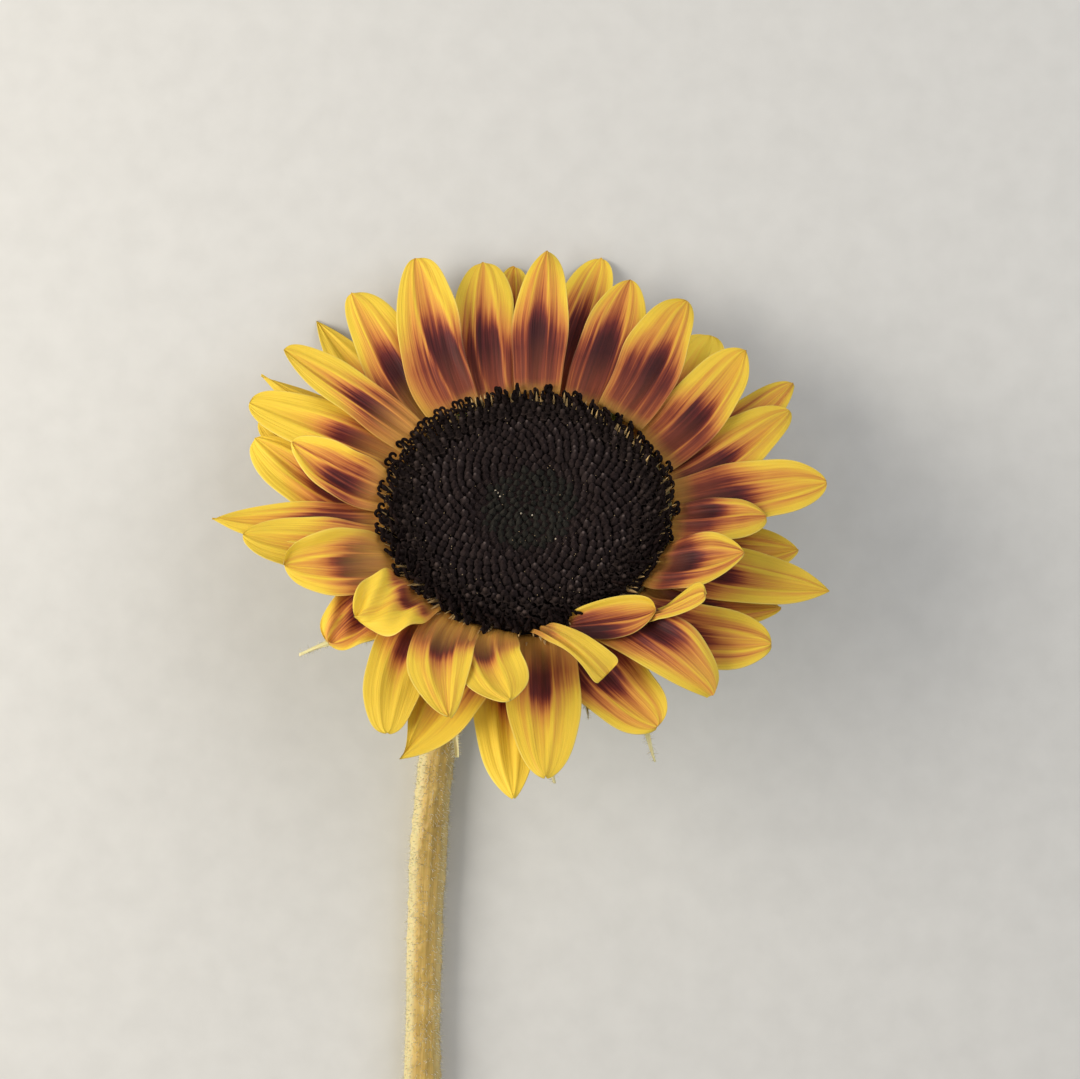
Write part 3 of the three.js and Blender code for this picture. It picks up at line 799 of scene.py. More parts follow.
# %% [markdown]
# A floret is a little tube. Closed, it is a five-sided bud. Open, it has a star of five teeth, a dark
# column of anthers in it, and out of that a stigma whose two arms curl right back into a shape like a 3.
# The arms are tubes swept along a spiral. All sizes are in mm, and each ring of a tube has a radius, a
# height and how lobed it is.

# %% Floret templates
LOBES = 5
FLORET_SIDES = 10
POINT = 0.12
THROAT = -0.35
ARM_SIDES = 7
ARM_STEPS = 10
ARM_RADIUS = 0.28
ARM_FOOT = 3.7
# How far each kind of stigma curls, in radians, its size, and how much less its second arm curls
ARMS = ((4.8, 0.62), (4.2, 0.68), (3.5, 0.66), (5.2, 0.58))
SECOND_ARM = 0.93


def lobed_tube(rings, end):
    """A tube of rings with a flat foot. end is how far its last point stands over the top ring."""
    angle = evenly(FLORET_SIDES)
    radius, height, lobed = np.array(rings)[..., None].transpose(1, 0, 2)
    body = polar(angle, radius * (1 + lobed * np.cos(angle * LOBES)), height).reshape(-1, 3)
    ends = [[0, 0, rings[0][1]], [0, 0, rings[-1][1] + end]]
    return np.concatenate([body, ends]), tube_faces(len(rings), FLORET_SIDES)


def joined(*parts):
    """Several (points, faces) as one."""
    points, faces, start = [], [], 0
    for some_points, some_faces in parts:
        points.append(some_points)
        faces += [[k + start for k in face] for face in some_faces]
        start += len(some_points)
    return np.concatenate(points), faces


def stigma_arm(hand, curl, size):
    """One curled arm: up out of the anthers, over and back round. hand is 1 or -1, for its side."""
    turn = np.linspace(0, curl, ARM_STEPS)
    grow = size * (1 - 0.35 * turn / curl)
    x = hand * (0.06 + grow * (1 - np.cos(turn)))
    z = ARM_FOOT + grow * np.sin(turn) * 1.1
    path = np.stack([x, np.full(ARM_STEPS, 0.02 * hand), z], -1)
    radii = ARM_RADIUS * (1 - 0.35 * np.linspace(0, 1, ARM_STEPS) ** 3)
    ring = spokes(np.gradient(path, axis=0), [0.0, 1.0, 0.0], evenly(ARM_SIDES))
    body = (path[:, None] + ring * radii[:, None, None]).reshape(-1, 3)
    return np.concatenate([body, path[:1], path[-1:]]), tube_faces(ARM_STEPS, ARM_SIDES, inside_out=True)


BUD = lobed_tube([(0.70, 0, 0.04), (0.80, 0.8, 0.08), (0.72, 1.4, 0.12), (0.44, 2.0, 0.22), (0.24, 2.4, 0.20),
                  (0.17, 2.7, 0.10)], POINT)
OPENING = lobed_tube([(0.66, 0, 0.05), (0.78, 1.2, 0.08), (0.74, 2.0, 0.12), (0.52, 2.5, 0.24),
                      (0.30, 2.8, 0.14), (0.22, 3.2, 0.10)], POINT)
ANTHERS = lobed_tube([(0.40, 0, 0.0), (0.44, 3.2, 0.06), (0.34, 3.9, 0.15)], POINT)
STAR = lobed_tube([(0.45, 0, 0.04), (0.50, 1.4, 0.06), (0.60, 2.3, 0.10), (0.84, 2.7, 0.26)], THROAT)
OPEN = joined(STAR, ANTHERS)
STIGMAS = [joined(stigma_arm(1, curl, size), stigma_arm(-1, curl * SECOND_ARM, size)) for curl, size in ARMS]
print("one open floret:", len(OPEN[0]), "points, one stigma:", len(STIGMAS[0][0]), "points")

# %% [markdown]
# The florets stand square to the bed, lean outwards at the rim and inwards at the middle, and are turned at
# random. The whole head nods, so they hang a little towards the stalk. Stamping is one product of arrays:
# every template point times every floret's own small frame.

# %% Planting the florets
FLORETS = 980
GOLDEN_ANGLE = math.pi * (3 - math.sqrt(5))
GREEN_WITHIN = 9.5
OPENING_FROM = 12.5
OPEN_FROM = 21.5
LINED_UP_FROM = 25.2
CURLED_FROM = 25.3
OUTERMOST = (26.5, 27.0)
HANG = 0.8
FLORET_LEAN = ((0, -0.25), (6, -0.12), (20, 0.08), (25, 0.30))
FLORET_SIZE = ((0, 0.70), (8, 0.96), (14, 1.14), (25, 1.08), (28, 1.08))
RIM_LEAN = {"rim": 0.30, "low side": -0.28, "high side": 0.10, "outermost": 0.22, "drawn in": -0.10}
DISORDER = {"ring": 0.08, "clock": 0.05, "lean": 0.07, "spin": 0.35}
SIZE_VARIES = (0.92, 1.08)


def frames_for(lean, angle, spin, scale):
    """One 3 by 3 frame each: spun about its own axis, leant outwards, and turned to its place."""
    made = []
    for tilt, turn, roll, size in zip(lean, angle, spin, scale):
        leant = Matrix.Rotation(turn, 3, "Z") @ Matrix.Rotation(tilt, 3, "Y")
        made.append(np.array(leant @ Matrix.Rotation(roll, 3, "Z")) * size)
    return np.array(made)


def stamp(template, frames, places):
    """The template's points in every frame and place, and its faces once for each."""
    points, faces = template
    all_points = np.einsum("nij,pj->npi", frames, points) + places[:, None]
    shape = [[k + n * len(points) for k in face] for n in range(len(places)) for face in faces]
    return all_points.reshape(-1, 3), shape


# Places: a spiral of equal areas, with a little disorder
order = np.arange(FLORETS)
ring = FRINGE_RADIUS * np.sqrt((order + 0.5) / FLORETS) + draw.normal(0, DISORDER["ring"], FLORETS)
clock = order * GOLDEN_ANGLE + draw.normal(0, DISORDER["clock"], FLORETS) / np.maximum(ring, 2)
short = short_by(clock, ring)
stand = polar(clock, ring - short, disc_height(ring)) - (0, HANG, 0)
low_side = np.clip(-np.sin(clock), 0, 1)
high_side = np.clip(np.sin(clock), 0, 1)
outermost = smooth_step(*OUTERMOST, ring) * (1 - low_side)

# Lean, in radians: outwards at the rim, and most of all on its upper side
lean = read_off(FLORET_LEAN, ring) + draw.normal(0, DISORDER["lean"], FLORETS)
rim_lean = RIM_LEAN["rim"] + RIM_LEAN["low side"] * low_side + RIM_LEAN["high side"] * high_side
lean += rim_lean * np.clip((ring - 25) / 3, 0, 1)
lean += (RIM_LEAN["outermost"] + RIM_LEAN["drawn in"] * short) * outermost

# Spin: at the rim the two arms of a stigma lie across the view, elsewhere they may face anywhere
spin = np.abs(np.cos(clock)) * math.pi / 2 + draw.normal(0, DISORDER["spin"], FLORETS)
spin = np.where(ring > LINED_UP_FROM, spin, draw.uniform(0, AROUND, FLORETS))
size = read_off(FLORET_SIZE, ring) * draw.uniform(*SIZE_VARIES, FLORETS)
size = size * (1 + 0.16 * outermost * draw.uniform(0, 1, FLORETS))
# How bright each floret's painted tip highlight is: dim on most, bright on a few
shade = 0.06 + 0.94 * draw.uniform(0, 1, FLORETS) ** 5
floret_frames = frames_for(lean, clock, spin, size)


def plant(name, template, chosen, material, tips):
    """One joined piece of all the chosen florets. tips sets a painted highlight on their tops, and their
    lower sides are painted lighter against the shade in the gaps between them.
    """
    points, faces = stamp(template, floret_frames[chosen], stand[chosen])
    level = np.clip(template[0][:, 2] / template[0][:, 2].max(), 0, 1)
    # Painted light: lighter low down on each floret, to lift the shade between them, and a painted highlight
    # at the very top
    tone = 0.45 * (1 - level) + shade[chosen][:, None] * (0.05 + level ** 12 * tips * 1.2)
    piece(name, to_frame(points), faces, material, values={"shade": tone.ravel()})
    print(name, "-", int(chosen.sum()), "florets")


GREEN_BUD = dark_material("young_green_floret", "#272420", "#50504A", 0.95)
BROWN_BUD = dark_material("closed_brown_floret", "#241B1B", "#625653", 0.95)
DARK_TUBE = dark_material("open_floret_tube", "#171010", "#6A5A54", 0.85)
STIGMA = dark_material("velvety_stigma", "#130C0C", "#3A2822", 0.75)
is_open = ring > OPEN_FROM
is_opening = (ring > OPENING_FROM) & ~is_open
is_green = ring < GREEN_WITHIN
plant("green_buds", BUD, is_green, GREEN_BUD, 0.3)
plant("brown_buds", BUD, ~is_green & ~is_opening & ~is_open, BROWN_BUD, 0.5)
plant("opening_florets", OPENING, is_opening, BROWN_BUD, 0.9)
plant("open_florets", OPEN, is_open, DARK_TUBE, 0.4)
kind = draw.integers(0, len(STIGMAS), FLORETS)
for number, template in enumerate(STIGMAS):
    plant(f"stigmas_{number + 1}", template, (ring > CURLED_FROM) & (kind == number), STIGMA, 0.3)

# %% [markdown]
# Between the florets stand dry papery scales, the chaff. Only at the rim are they long enough to show, as
# golden points in the gaps of the fringe. Each is a narrow pointed blade with a rib, stamped like the
# florets.

# %% Chaff
SCALES = 150
SCALE_HEIGHT = 5.0
SCALE_BOW = 0.35
SCALE_ROWS = 7
SCALE_SECTION = np.array([(1, 0), (0, 1), (-1, 0), (0, -1)])
SCALE_RING = (26.6, 28.1)
SCALE_DRAWN_IN = 1.6
SCALE_LEAN = (0.62, -0.28)


def scale_template():
    """One scale, up to its point: four sides, bowed outwards as it rises."""
    level = np.linspace(0, 1, SCALE_ROWS)[:, None]
    x = SCALE_SECTION[:, 0] * (0.16 * (1 - level) + 0.03) + SCALE_BOW * level ** 2
    y = SCALE_SECTION[:, 1] * (0.45 * (1 - level ** 2.5) + 0.03)
    body = np.stack(np.broadcast_arrays(x, y, level * SCALE_HEIGHT), -1).reshape(-1, 3)
    ends = [[0, 0, 0], [SCALE_BOW, 0, SCALE_HEIGHT + 0.2]]
    return np.concatenate([body, ends]), tube_faces(SCALE_ROWS, 4)


at = (np.arange(SCALES) + draw.uniform(-0.3, 0.3, SCALES)) * AROUND / SCALES
out_to = draw.uniform(*SCALE_RING, SCALES)
out_to = out_to - SCALE_DRAWN_IN * short_by(at, out_to)
tilt = SCALE_LEAN[0] + SCALE_LEAN[1] * np.sin(at) + draw.normal(0, 0.08, SCALES)
scale_frames = frames_for(tilt, at, draw.normal(0, 0.3, SCALES), draw.uniform(0.7, 1.0, SCALES))
points, faces = stamp(scale_template(), scale_frames, polar(at, out_to, disc_height(out_to)) - (0, HANG, 0))
CHAFF = dark_material("dry_golden_chaff", "#C08E4C", "#F0D49A", 0.6)
piece("chaff_scales", to_frame(points), faces, CHAFF, values={"shade": np.full(len(points), 0.5)})
print("scales:", SCALES)

# %% [markdown]
# Some shed pollen lies on the buds. It is what makes the middle of the disc sparkle, and a handful of
# specks, near the very middle, is bright white. One real grain is only 0.03 mm, so each speck is a clump of
# many.

# %% Pollen
BRIGHT_PLACES = np.array([(-6.4, 3.8), (-6.0, 3.2), (-5.6, 2.3), (-5.2, -1.2), (-1.8, -2.2), (0.4, -2.9),
                          (4.5, -9.3)])
DUSTY_SPECKS = 160
DUSTY_WITHIN = 25
SUNK = 0.3
SPECK_RADIUS = 0.22
SPECK = turned([(0, -1), (0.6, -0.8), (1, 0), (0.6, 0.8), (0, 1)], 6)


def pollen_material(name, tone):
    """Dry powder, with a spiny grain ten to the millimetre that gives it its sparkle."""
    material, tree = new_material(name)
    body = add(tree, "TexCoord", out="Object")
    spines = add(tree, "TexVoronoi", {"Vector": body, "Scale": 10 / MM})
    colour = add(tree, "ValToRGB", {0: spines}, [(0.0, tone), (0.6, "#9C8868")])
    bump = add(tree, "Bump", {"Height": spines, "Distance": 0.04 * MM, "Strength": 0.6})
    return surface(material, {"Base Color": colour, "Roughness": 0.8, "Normal": bump})


def sprinkle(name, spots, sizes, material):
    """Specks at spots (x, y) of the disc, sunk a little between the tops of the buds."""
    level = read_off(DISC_TOP, np.linalg.norm(spots, axis=1)) - SUNK
    frames = np.eye(3) * (SPECK_RADIUS * sizes)[:, None, None]
    points, faces = stamp(SPECK, frames, np.column_stack([spots, level]))
    piece(name, to_frame(points), faces, material)
    print(name, "-", len(spots), "specks")


sizes = draw.uniform(0.8, 1.2, len(BRIGHT_PLACES))
sprinkle("bright_pollen", BRIGHT_PLACES, sizes, pollen_material("fresh_pollen", "#FFFDF4"))
far = DUSTY_WITHIN * np.sqrt(draw.uniform(0.02, 1, DUSTY_SPECKS))
dusty_places = polar(draw.uniform(0, AROUND, DUSTY_SPECKS), far)[:, :2]
sizes = draw.uniform(0.25, 0.6, DUSTY_SPECKS)
sprinkle("dusty_pollen", dusty_places, sizes, pollen_material("dry_pollen", "#8A7452"))

# %% [markdown]
# ## Green parts
# Bracts, the back of the head and the stalk are one living tissue under a coat of short stiff hairs, which
# catch the light and make the stalk look frosted. The tissue is a principled surface with lengthwise
# fibres: green on the bracts and the head, and ripened to straw on the stalk. The hairs are real: thin
# closed cones, because the silhouette of the stalk is fuzzy, and no bump can do that.


# %% Green tissue
# The pale colour of bract tips, the head's lip and the middle of its funnel, and the stalk's cut, also used
# as painted light on the stalk's flanks
PALE_TISSUE_AND_PAINTED_LIGHT = linear("#E6DCA6")


def green_material(name, young, old, fibres_apart, rough):
    """Living green skin: waxy, a little glossy, streaked along its fibres. fibres_apart is in mm."""
    material, tree = new_material(name)
    grid = add(tree, "SeparateXYZ", {0: add(tree, "UVMap", uv_map="Pattern")}, out=None)
    times = (1 / fibres_apart, 0.12 / fibres_apart)
    fibre = drawn_out(tree, grid.outputs[0], grid.outputs[1], times, 0.0, 4.0)
    body = add(tree, "TexCoord", out="Object")
    cloud = add(tree, "TexNoise", {"Vector": body, "Scale": 0.16 / MM, "Detail": 2.0})
    ripe = add(tree, "Math", {0: cloud, 1: 0.6, 2: -0.1}, operation="MULTIPLY_ADD")
    ripe = add(tree, "Math", {0: fibre, 1: 0.5, 2: ripe}, operation="MULTIPLY_ADD")
    tone = add(tree, "ValToRGB", {0: ripe}, [(0.30, old), (0.70, young)])
    # Pale tissue mixes in here; on the stalk this also carries the painted light on its flanks
    pale_tissue_and_painted_light = add(tree, "Attribute", out="Fac", attribute_name="pale_tissue_and_painted_light")
    tone = add(tree, "Mix", {0: pale_tissue_and_painted_light, 6: tone, 7: PALE_TISSUE_AND_PAINTED_LIGHT}, out=2, data_type="RGBA")
    bump = add(tree, "Bump", {"Height": fibre, "Distance": 0.12 * MM, "Strength": 0.7})
    return surface(material, {"Base Color": tone, "Roughness": rough, "Normal": bump, "IOR": 1.45,
                              "Subsurface Weight": 0.08, "Subsurface Scale": 1 * MM})


def hair_material(name, tone):
    """A dry hollow hair: almost colourless, so it takes the light's own colour."""
    material, tree = new_material(name)
    body = add(tree, "TexCoord", out="Object")
    joints = add(tree, "TexNoise", {"Vector": body, "Scale": 3 / MM})
    colour = add(tree, "ValToRGB", {0: joints}, [(0.3, tone), (0.7, "#FFFDF0")])
    return surface(material, {"Base Color": colour, "Roughness": 0.45, "IOR": 1.45,
                              "Transmission Weight": 0.15})


BRACT_SKIN = green_material("hairy_bract_leaf", "#8FA04A", "#5E7330", 0.5, 0.62)
HEAD_SKIN = green_material("fleshy_green_head", "#9BA653", "#6E8038", 0.8, 0.60)
STALK_SKIN = green_material("ribbed_straw_coloured_stalk", "#D9B768", "#A98A40", 0.7, 0.48)
HAIR = hair_material("stiff_pale_hair", "#DDD6B4")
print("green parts: 3 skins and 1 hair")

# %% [markdown]
# A real bristle is 0.05 to 0.1 mm thick at its foot. These are drawn at the thick end of that, so that they
# show. Each is a cone of seven points: a ring of three at its foot, another half way up, and the tip. A
# hair is bent by up to a quarter of its length, and no two are alike.


# %% Hairs
HAIR_RADIUS = 0.055
HAIR_BEND = 0.25
HAIR_DISORDER = 0.3
HAIR_FACES = ([0, 1, 4, 3], [1, 2, 5, 4], [2, 0, 3, 5], [0, 2, 1], [3, 4, 6], [4, 5, 6], [5, 3, 6])


def hairs(name, roots, directions, lengths):
    """Three-sided cones from roots (mm, in the frame) along directions, a little bent by their draw."""
    count = len(roots)
    ring = spokes(directions, draw.normal(0, 1, (count, 3)), -evenly(3))
    bend = ring[:, :1] * (lengths * draw.uniform(-HAIR_BEND, HAIR_BEND, count))[:, None, None]
    reach = (unit(directions) * lengths[:, None])[:, None]
    foot = roots[:, None]
    ring = ring * HAIR_RADIUS
    points = np.concatenate([foot + ring, foot + reach * 0.5 + ring * 0.7, foot + reach + bend], 1)
    faces = [[k + n * 7 for k in face] for n in range(count) for face in HAIR_FACES]
    piece(name, above_floor(points.reshape(-1, 3)), faces, HAIR)
    print(name, "-", count, "hairs")


# %% [markdown]
# ## The bracts
# Thirteen long-pointed leaves stand behind the petals, and their tips hook out between them as thin pale
# curls. They are blades like the petals, with another outline, a midrib, and a fringe of hairs on both
# edges. A second, shorter row covers the back of the head in the gaps between them, as it does on the
# plant.

# %% Bracts
BRACTS = 13
BRACT_FIRST = 211
BRACT_SEAT = (29.7, -5.2)  # radius and height
BRACT_REACH = (50, 5)  # and how much less at the top
BRACT_RISE = (-9, 6)  # and how much more at the top
BRACT_SWING = (6, -1.2, 2)
BRACT_WIDTH = 9.5
SHORTER = {1: -4.5, 2: -1.5}
AIM = {0: -4, 1: 4, 2: 1, 3: 3}
INNER_SEAT = (27.5, -8.2)
INNER_REACH = 43
INNER_RISE = -10.5
INNER_WIDTH = 9.0
BRACT_ROWS = 44
BRACT_COLUMNS = 13
BRACT_CURL = 18
BRACT_THICKNESS = 0.5
BRACT_LENGTH = 22
EDGE_HAIRS = 130
BACK_HAIRS = 110
BRACT_HAIR_LENGTH = (0.5, 1.3)


def bract_outline(v, foot=0.75, widest=0.22):
    """Half outline of a bract: broad near its foot, with a long drawn-out point."""
    rise = foot + (1 - foot) * np.sin(np.clip(v / widest, 0, 1) * math.pi / 2)
    past = np.clip((v - widest) / (1 - widest), 0, 1)
    fall = (1 - past) ** 1.8 + 0.07 * past * np.sqrt(1 - past)
    return np.where(v < widest, rise, np.maximum(fall, 0.01))


def grow_bract(name, run, width, replaces, hook):
    """One bract, and the roots and directions of the hairs on its edges and back."""
    v = np.linspace(0, 1, BRACT_ROWS)
    u = np.sin(np.linspace(-1, 1, BRACT_COLUMNS) * 1.3) / math.sin(1.3)
    grid_u, grid_v = np.meshgrid(u, v)
    phase = draw.uniform(0, AROUND)
    relief = -0.35 * np.exp(-(grid_u / 0.18) ** 2) * (1 - grid_v)
    relief += 0.35 * grid_u ** 2 * np.sin(grid_v * 11 + phase)
    relief += hook * smooth_step(0.55, 1.0, grid_v) ** 2
    thickness = BRACT_THICKNESS * (1 - 0.7 * np.abs(grid_u) ** 4) * (1 - 0.5 * grid_v)
    half = width / 2 * bract_outline(grid_v) * (1 + 0.04 * np.sin(grid_v * 23 + phase))
    curl = np.full(BRACT_ROWS, math.radians(BRACT_CURL))
    points, faces = blade_sheet(run, half, relief, thickness, curl, np.zeros(BRACT_ROWS), u, v)
    sway = np.stack([np.sin(v * 5 + phase), np.cos(v * 4 + phase), np.zeros(BRACT_ROWS)], -1)
    points = points + np.tile(np.repeat(sway * (0.5 * v ** 2)[:, None], BRACT_COLUMNS, 0), (2, 1))
    placed = above_floor(to_frame(points))
    pattern = np.stack([grid_u * half, grid_v * BRACT_LENGTH], -1).reshape(-1, 2)
    pale = 0.9 * smooth_step(0.45, 0.85, grid_v).ravel()
    piece(name, placed, faces, BRACT_SKIN, replaces,
          np.tile(pattern, (2, 1)), {"pale_tissue_and_painted_light": np.tile(pale, 2)})

    # Hairs stand out from both edges, and from the back
    face, back = placed.reshape(2, BRACT_ROWS, BRACT_COLUMNS, 3)
    middle = BRACT_COLUMNS // 2
    across = unit(face[:, -1] - face[:, 0])
    forward = unit(np.gradient(face[:, middle], axis=0))
    out = unit(np.cross(across, forward))
    out = out * np.sign((out * unit(face - back)[:, middle]).sum(1))[:, None]
    rows = draw.integers(2, BRACT_ROWS - 1, EDGE_HAIRS)
    hand = draw.choice([-1, 1], EDGE_HAIRS)
    edge_roots = face[rows, np.where(hand > 0, -1, 0)]
    edge_ways = across[rows] * hand[:, None] + forward[rows] * 0.5
    edge_ways += draw.normal(0, HAIR_DISORDER, (EDGE_HAIRS, 3))
    rows = draw.integers(1, BRACT_ROWS - 1, BACK_HAIRS)
    back_roots = back[rows, draw.integers(1, BRACT_COLUMNS - 1, BACK_HAIRS)]
    back_ways = forward[rows] * 0.6 - out[rows] + draw.normal(0, HAIR_DISORDER, (BACK_HAIRS, 3))
    return np.concatenate([edge_roots, back_roots]), np.concatenate([edge_ways, back_ways])


grown = []
for number in range(BRACTS):
    seat = BRACT_FIRST + number * 360 / BRACTS
    up = math.sin(math.radians(seat))
    tip = seat + BRACT_SWING[0] * math.sin(BRACT_SWING[1] + BRACT_SWING[2] * number) + AIM.get(number, 0)
    reach = BRACT_REACH[0] - BRACT_REACH[1] * up + SHORTER.get(number, 0)
    run = blade_run(seat, tip, reach, *BRACT_SEAT, BRACT_RISE[0] + BRACT_RISE[1] * up)
    grown.append(grow_bract(f"outer_bract_{number + 1:02d}", run, BRACT_WIDTH, [f"bract_{number + 1:02d}"],
                            draw.uniform(-1.5, 0.5)))
for number in range(BRACTS):
    seat = BRACT_FIRST + (number + 0.5) * 360 / BRACTS
    tip = seat + draw.uniform(-5, 5)
    reach = INNER_REACH + draw.uniform(-2, 2)
    run = blade_run(seat, tip, reach, *INNER_SEAT, INNER_RISE + draw.uniform(-1, 1))
    grown.append(grow_bract(f"inner_bract_{number + 1:02d}", run, INNER_WIDTH, (), draw.uniform(-1.0, 0.3)))
roots, ways = (np.concatenate(parts) for parts in zip(*grown))
hairs("bract_hairs", roots, ways, draw.uniform(*BRACT_HAIR_LENGTH, len(roots)))

# %% [markdown]
# ## The back of the head
# Behind the petals the head narrows to the stalk like a shallow funnel. It is turned from a profile, and
# then rippled: one swelling for each bract, so that the bracts seem to grow out of it. Its lip, which can
# show in the gaps of the fringe, is as pale as the claws of the petals.

# %% Head back
LIP = -3.2
HEAD_FOOT = -17.0
FUNNEL = ((5.6, -17), (10.6, -14.6), (18.8, -11.6), (25.9, -9.0), (29.4, -7.4), (29.4, LIP))
FUNNEL_RINGS = 40
HEAD_SIDES = 208
HEAD_HAIRS = 1500
HEAD_HAIR_LENGTH = (0.5, 1.2)
SWELL = 0.45
FINE_RIBS = (0.06, 61)


def head_ripple(angle, radius, height):
    """A swelling under each bract, strongest half way up the funnel, and fine ribs."""
    swell = SWELL * np.cos((angle - math.radians(BRACT_FIRST)) * BRACTS)
    swell = swell * np.sin(np.clip((radius - 6) / 23, 0, 1) * math.pi)
    fine = FINE_RIBS[0] * np.sin(angle * FINE_RIBS[1] + radius) * np.clip((radius - 5) / 10, 0, 1)
    return radius, height - swell - fine


steps = np.linspace(0, 1, len(FUNNEL))
rings_at = np.linspace(0, 1, FUNNEL_RINGS)
funnel = list(zip(*(np.interp(rings_at, steps, column) for column in zip(*FUNNEL))))
head_profile = [(0, HEAD_FOOT), (3, HEAD_FOOT), *funnel, (15, LIP), (0, LIP)]
points, faces = turned(head_profile, HEAD_SIDES, head_ripple)
radius = np.linalg.norm(points[:, :2], axis=1)
pattern = np.stack([np.arctan2(points[:, 1], points[:, 0]) * 16, radius], -1)
pale = np.maximum(0.5 * (1 - smooth_step(5, 15, radius)), 0.9 * (points[:, 2] > LIP - 0.4))
piece("head_funnel", to_frame(points), faces, HEAD_SKIN, ["head_back"], pattern, {"pale_tissue_and_painted_light": pale})
far = draw.uniform(7, 29, HEAD_HAIRS)
way = draw.uniform(0, AROUND, HEAD_HAIRS)
roots = to_frame(polar(way, far, read_off(FUNNEL[:5], far)))
ways = (polar(way, 0.6, -1.0) + draw.normal(0, HAIR_DISORDER, (HEAD_HAIRS, 3))) @ HEAD_AXES.T
hairs("head_hairs", roots, ways, draw.uniform(*HEAD_HAIR_LENGTH, HEAD_HAIRS))

# %% [markdown]
# ## The stalk
# Under the head the stalk is thick and bends over, and then it runs straight along the floor to a clean
# cut. It is one tube along two curves, the same two as in the solids. Its skin has a dozen low ribs and
# hundreds of small warts with a hair on each, which make its outline lumpy. Its flanks carry painted light,
# a pale band on the lit left side and a fainter one on the right, and the cut end is pale.

# %% Stalk
STALK_RADIUS = 3.75
NECK_RADIUS = 5.0
NECK_TAPER = 0.6
NECK_TOP = -17.2
STALK_HEIGHT = 3.62
NECK_FOOT = np.array([-17.58, -14.64, STALK_HEIGHT])
STALK_CUT = np.array([-20.58, -92.63, STALK_HEIGHT])
HEADING = unit(np.array([-0.12, -0.99, 0.0]))
NECK_HANDLES = (15, 20)
STALK_HANDLES = (22, 26)
STALK_SIDES = 72
NECK_ROWS = 90
STALK_ROWS = 170
WARTS = 900
WART_WIDTH = (0.3, 0.6)
WART_RISE = (0.08, 0.34)
TALLEST_WART = 0.4
CUT_PROFILE = ((0.96, 0.0), (0.78, 0.10), (0.60, 0.0), (0.40, -0.35), (0.15, -0.55))
CUT_MIDDLE = -0.6
CUT_PITH = 0.85

# The middle line, how thick the stalk is along it, and how far each row has travelled
neck_top = to_frame(np.array([0, 0, NECK_TOP]))
neck_run = (neck_top, neck_top - HEAD_AXES[:, 2] * NECK_HANDLES[0],
            NECK_FOOT - HEADING * NECK_HANDLES[1], NECK_FOOT)
stalk_run = (NECK_FOOT, NECK_FOOT + HEADING * STALK_HANDLES[0],
             STALK_CUT + (0, STALK_HANDLES[1], 0), STALK_CUT)
neck_t = np.linspace(0, 1, NECK_ROWS)
stalk_path = bezier(stalk_run, np.linspace(0, 1, STALK_ROWS))[0][1:]
path = np.concatenate([bezier(neck_run, neck_t)[0], stalk_path])
neck_thick = NECK_RADIUS + (STALK_RADIUS - NECK_RADIUS) * np.minimum(1, neck_t / NECK_TAPER)
thick = np.append(neck_thick, np.full(len(stalk_path), STALK_RADIUS))
travelled = np.append(0, np.cumsum(np.linalg.norm(np.diff(path, axis=0), axis=1)))
length = travelled[-1]
forward = unit(np.gradient(path, axis=0))
angle = evenly(STALK_SIDES)
around = spokes(forward, UP, angle)

# The skin: ribs, a slow sway of its thickness, and warts
bumps = np.zeros((len(path), STALK_SIDES))
warts = [draw.uniform(*bounds, WARTS)
         for bounds in ((0.5, length - 0.5), (0, AROUND), WART_WIDTH, WART_RISE)]
for at, turn, wide, rise in zip(*warts):
    away = (angle[None] - turn + math.pi) % AROUND - math.pi
    bumps += rise * np.exp(-((travelled[:, None] - at) ** 2 + (away * STALK_RADIUS) ** 2) / wide ** 2)
ribs = 0.09 * np.sin(angle * 12) + 0.06 * np.sin(angle * 5 + 1)
sway = 0.10 * np.sin(travelled / 9.0) + 0.07 * np.sin(travelled / 3.7 + 1)
skin = (thick + sway)[:, None] + ribs + np.minimum(bumps, TALLEST_WART) - 0.12
tube = path[:, None] + around * skin[..., None]

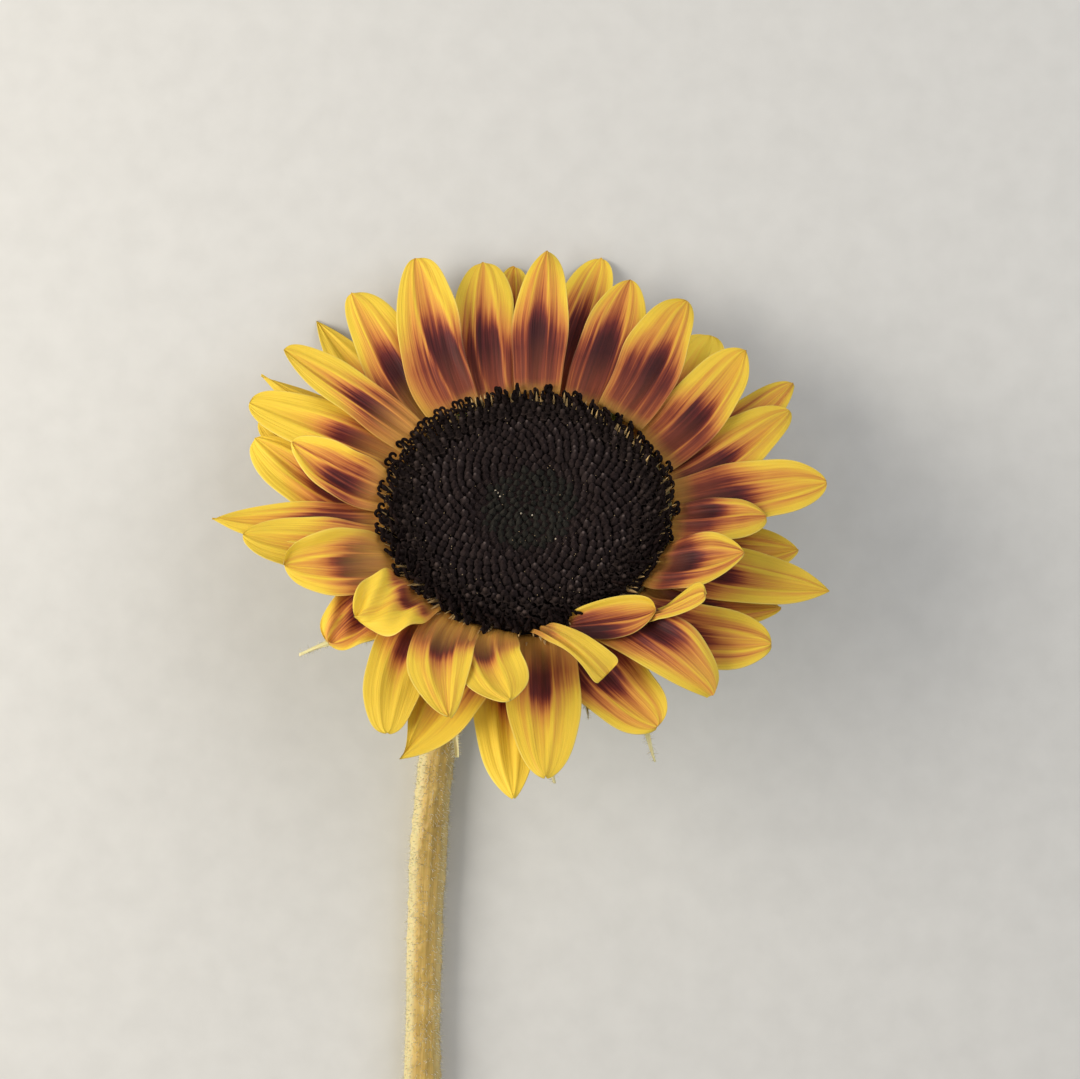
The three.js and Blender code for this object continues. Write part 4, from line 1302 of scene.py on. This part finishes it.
# Both ends close over rings, and the cut one is dished where the pith has dried
rings = [path[0] + (tube[0] - path[0]) * part for part in (0.4, 0.9)]
ends = [path[-1] + (tube[-1] - path[-1]) * part + forward[-1] * out for part, out in CUT_PROFILE]
middles = path[[0, -1]] + forward[[0, -1]] * [[0], [CUT_MIDDLE]]
points = np.concatenate([*rings, tube.reshape(-1, 3), *ends, middles])
level = np.concatenate([np.zeros(len(rings)), travelled, np.full(len(ends), length)])
faces = tube_faces(len(level), STALK_SIDES, inside_out=True)

# Its pattern map is in mm, and mirrored, so that it has no seam. The cut is pale, and the flanks get
# painted light: strong on the left, which faces the key light, and weak on the right
folded = np.minimum(angle, AROUND - angle) * STALK_RADIUS * 2
pattern = np.stack(np.meshgrid(folded, level), -1).reshape(-1, 2)
pattern = np.concatenate([pattern, [[0, 0], [0, length]]])
# Painted light on the flanks: a strong band on the left, towards the key light, and a weak one on the right
painted_flank_light = 0.7 * smooth_step(0.35, 0.85, np.cos(angle)) + 0.3 * smooth_step(0.5, 0.9, -np.cos(angle))
pale_tissue_and_painted_light = np.append(np.tile(painted_flank_light, len(level)), [0.0, CUT_PITH])
pale_tissue_and_painted_light[(len(rings) + len(path) + 1) * STALK_SIDES:-2] = CUT_PITH
piece("stalk", above_floor(points), faces, STALK_SKIN, ["stem", "neck"], pattern, {"pale_tissue_and_painted_light": pale_tissue_and_painted_light})
print("stalk length, mm:", round(float(length), 1))

# %% [markdown]
# The stalk's bristles stand a little forward, towards the cut, and none grows where the stalk lies on the
# floor.

# %% The stalk's hairs
STALK_HAIRS = 5200
STALK_HAIR_LENGTH = (0.4, 1.5)
STALK_HAIR_DISORDER = 0.35
BARE_UNDER = 0.6

rows = draw.integers(2, len(path) - 2, STALK_HAIRS)
turns = draw.integers(0, STALK_SIDES, STALK_HAIRS)
roots = tube[rows, turns]
ways = around[rows, turns] + forward[rows] * 0.35 + draw.normal(0, STALK_HAIR_DISORDER, (STALK_HAIRS, 3))
lengths = draw.uniform(*STALK_HAIR_LENGTH, STALK_HAIRS)
keep = roots[:, 2] > BARE_UNDER
hairs("stalk_hairs", roots[keep], ways[keep], lengths[keep])
